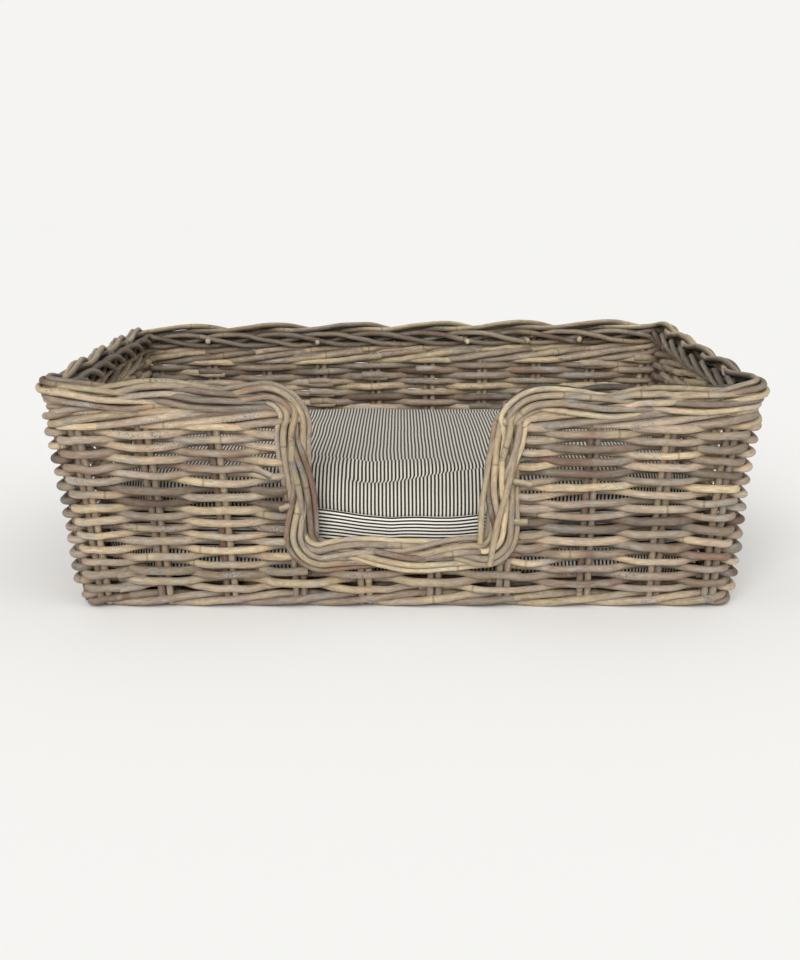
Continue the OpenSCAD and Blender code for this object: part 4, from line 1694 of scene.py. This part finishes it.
@dataclass
class Studio:
    """A pale floor, soft light and the camera."""

    camera_at: tuple[float, float, float] = (0.0, -1.828, 0.492)
    pitch: float = 77.65
    lens: float = 52.5

    def build(self) -> None:
        """Adds the floor, the lights, the sky and the camera."""
        bpy.context.scene.view_settings.view_transform = "Standard"
        self.floor()
        self.sun("key", (-0.55, -2.4, 1.4), 1.9, 36.0)
        self.sun("fill", (1.5, -1.6, 1.7), 0.35, 60.0)
        world = bpy.data.worlds.new("studio")
        bpy.context.scene.world = world
        world.use_nodes = True
        tree = world.node_tree
        seen = add_node(tree, "LightPath").node.outputs["Is Camera Ray"]
        strength = add_node(tree, "MapRange", Value=seen, To_Min=0.66, To_Max=1.0)
        connect(tree, tree.nodes["Background"], Color=srgb("f5f4f2"), Strength=strength)
        data = bpy.data.cameras.new("camera")
        data.lens = self.lens
        data.sensor_width = 36.0
        data.clip_start, data.clip_end = 0.05, 50.0
        camera = bpy.data.objects.new("camera", data)
        camera.location = self.camera_at
        camera.rotation_euler = (math.radians(self.pitch), 0.0, 0.0)
        bpy.context.scene.collection.objects.link(camera)
        bpy.context.scene.camera = camera

    def floor(self) -> None:
        """Adds a wide pale floor."""
        material, tree, shader = new_material("studio_floor")
        connect(tree, shader, Base_Color=srgb("fcfcfb"), Roughness=0.9)
        size = 14.0
        corners = np.array([[-size, -size, 0], [size, -size, 0], [size, size, 0], [-size, size, 0.0]])
        thing = make_mesh("floor", corners, [np.array([[0, 1, 2, 3]])], material)

    def sun(self, name: str, place: tuple, power: float, spread: float) -> None:
        """Adds an even, soft light that shines from a place towards the middle of the basket.

        Args:
            name: the light's name.
            place: where it shines from.
            power: its strength.
            spread: how wide it looks, in degrees; a wider one has softer shadows.
        """
        data = bpy.data.lights.new(name, "SUN")
        data.energy = power
        data.angle = math.radians(spread)
        lamp = bpy.data.objects.new(name, data)
        lamp.location = place
        way = mathutils.Vector((0.0, 0.0, 0.1)) - mathutils.Vector(place)
        lamp.rotation_euler = way.to_track_quat("-Z", "Y").to_euler()
        bpy.context.scene.collection.objects.link(lamp)


# ---------------------------------------------------------------- everything together


def set_down(
    thing: bpy.types.Object, body: str, slot: str, *nodes: str, fill: float | None = None
) -> bpy.types.Object:
    """Makes a piece ride on a body and stand for its CAD nodes.

    Args:
        thing: the finished piece.
        body: the body it moves with.
        slot: not used.
        nodes: the CAD nodes that it stands for.
        fill: not used.

    Returns:
        The piece.
    """
    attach(thing, body)
    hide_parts(*nodes)
    LOG.info("%s rides on %s for %s", thing.name, body, ", ".join(nodes))
    return thing


def main() -> None:
    """Builds the whole basket round the fixed frame."""
    logging.basicConfig(level=logging.INFO, format="%(name)s: %(message)s")
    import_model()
    Studio().build()

    rim_lo, rim_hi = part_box("rim_back")
    side_lo, side_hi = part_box("rim_right")
    base_lo, base_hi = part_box("base_weave")
    rim_half = ((side_lo.x + side_hi.x) / 2, (rim_lo.y + rim_hi.y) / 2)
    form = BasketForm(side_hi.x, rim_hi.y, rim_hi.z)
    scoop = Scoop(rim_z=(rim_lo.z + rim_hi.z) / 2)
    weaving = Rattan("weathered rattan weave", brightness=1.0).build()
    # the plait's canes carry painted shade on the side that faces in
    border = Rattan("split rattan plait", roughness=0.5, painted_groove_shade=0.62).build()
    staking = Rattan("rattan stakes", roughness=0.6, brightness=0.95).build()

    weave_nodes = {wall: (f"weave_{wall}",) for wall in WALLS}
    weave_nodes["front_left"] += ("weave_corner_front_left",)
    weave_nodes["front_right"] += ("weave_corner_front_right",)
    weave_nodes["back"] += ("weave_corner_back_right", "weave_corner_back_left")
    for wall, piece in WovenWalls(form, scoop, CaneMaker(11)).build(weaving).items():
        set_down(piece, "basket", "weaving_cane", *weave_nodes[wall])
    for wall, piece in Stakes(form, scoop, CaneMaker(12)).build(staking).items():
        set_down(piece, "basket", "stake_cane", f"stakes_{wall}")

    open_range = scoop.pair_range(form, 8 * MM)
    waling = TwistedBand(
        form, CaneMaker(13), rod_d=8.8 * MM, rods=4, pairs_per_turn=4.0, middle_z=223.5 * MM, rise=7.4 * MM,
        reach=9.2 * MM,
    )
    for wall, piece in waling.build("waling", *open_range, False, weaving, Palette.BORDER).items():
        set_down(piece, "basket", "border_cane", f"wale_{wall}")
    lock = TwistedBand(
        form, CaneMaker(17), rod_d=8.2 * MM, rods=3, pairs_per_turn=2.6, middle_z=234.0 * MM, rise=3.6 * MM,
        reach=4.2 * MM,
    )
    for piece in lock.build("lock", *open_range, False, weaving, Palette.WALL).values():
        set_down(piece, "basket", "border_cane")
    filler = TwistedBand(
        form, CaneMaker(19), rod_d=7.6 * MM, rods=2, pairs_per_turn=3.1, middle_z=224.0 * MM, rise=2.4 * MM,
        reach=2.6 * MM,
    )
    # the filler rods take the darker inside mix: painted shade within the waling
    for piece in filler.build("filler", *open_range, False, weaving, Palette.SHADED_INSIDE).values():
        set_down(piece, "basket", "border_cane")
    foot = TwistedBand(
        form, CaneMaker(14), rod_d=8.8 * MM, rods=3, pairs_per_turn=3.0, middle_z=10.5 * MM, rise=5.2 * MM,
        reach=7.6 * MM, shift=-4.6 * MM,
    )
    foot_nodes = {wall: (f"foot_{wall.split('_')[0]}",) for wall in WALLS}
    foot_nodes["back"] += ("foot_corners",)
    for wall, piece in foot.build("foot_twist", 0.5, 0.5 + form.pairs, True, weaving, Palette.BORDER).items():
        set_down(piece, "basket", "border_cane", *foot_nodes[wall])

    plait = PlaitedBorder(form, scoop, CaneMaker(15), rim_half).build(border)
    for name, piece in plait.items():
        extra = ("rim_corners",) if name == "rim_back" else ()
        set_down(piece, "basket", "border_cane", name, *extra)

    for piece in LooseEnds(form, CaneMaker(18)).build(border):
        set_down(piece, "basket", "border_cane")

    base = WovenBase(base_hi.x, base_hi.y, (base_lo.z + base_hi.z) / 2, CaneMaker(16))
    sticks, weave = base.build(staking, weaving)
    set_down(sticks, "basket", "stake_cane", "base_sticks")
    set_down(weave, "basket", "weaving_cane", "base_weave")

    cushion = TickingCushion()
    cushion.shape(cushion.swell())
    ticking = Ticking("cotton ticking").build()
    # the top panel's duller white is painted shade: the top takes less light than the front
    shaded_top_ticking = Ticking("cotton ticking, shaded top", white="d4cebf").build()
    wadding = PlainCloth("polyester wadding", "f4f1ea", "e6e1d6", 3 * MM, 0.8 * MM).build()
    for part, cloth, node in (
        ("top", shaded_top_ticking, "cushion_top_cover"),
        ("boxing", ticking, "cushion_boxing"),
        ("bottom", ticking, "cushion_bottom_cover"),
    ):
        set_down(cushion.cover(f"ticking_{part}", part, cloth), "cushion", "ticking", node, fill=0.8)
    set_down(cushion.filling(wadding), "cushion", "wadding", "cushion_filling", fill=0.8)
    tape_lo, tape_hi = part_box("zip_tape")
    slider_lo, slider_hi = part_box("zip_slider")
    middle = np.array([(tape_lo.x + tape_hi.x) / 2, tape_lo.y, (tape_lo.z + tape_hi.z) / 2])
    closure = Zip(middle, (slider_lo.x + slider_hi.x) / 2)
    woven_tape = PlainCloth("woven polyester zip tape", "d8d2c4", "c6bfae", 0.7 * MM, 0.2 * MM).build()
    set_down(closure.tape(woven_tape), "cushion", "zip_tape", "zip_tape")
    set_down(closure.slider(AntiqueBrass("antique brass").build()), "zip_slider", "zip_metal", "zip_slider")


if __name__ == "__main__":
    main()
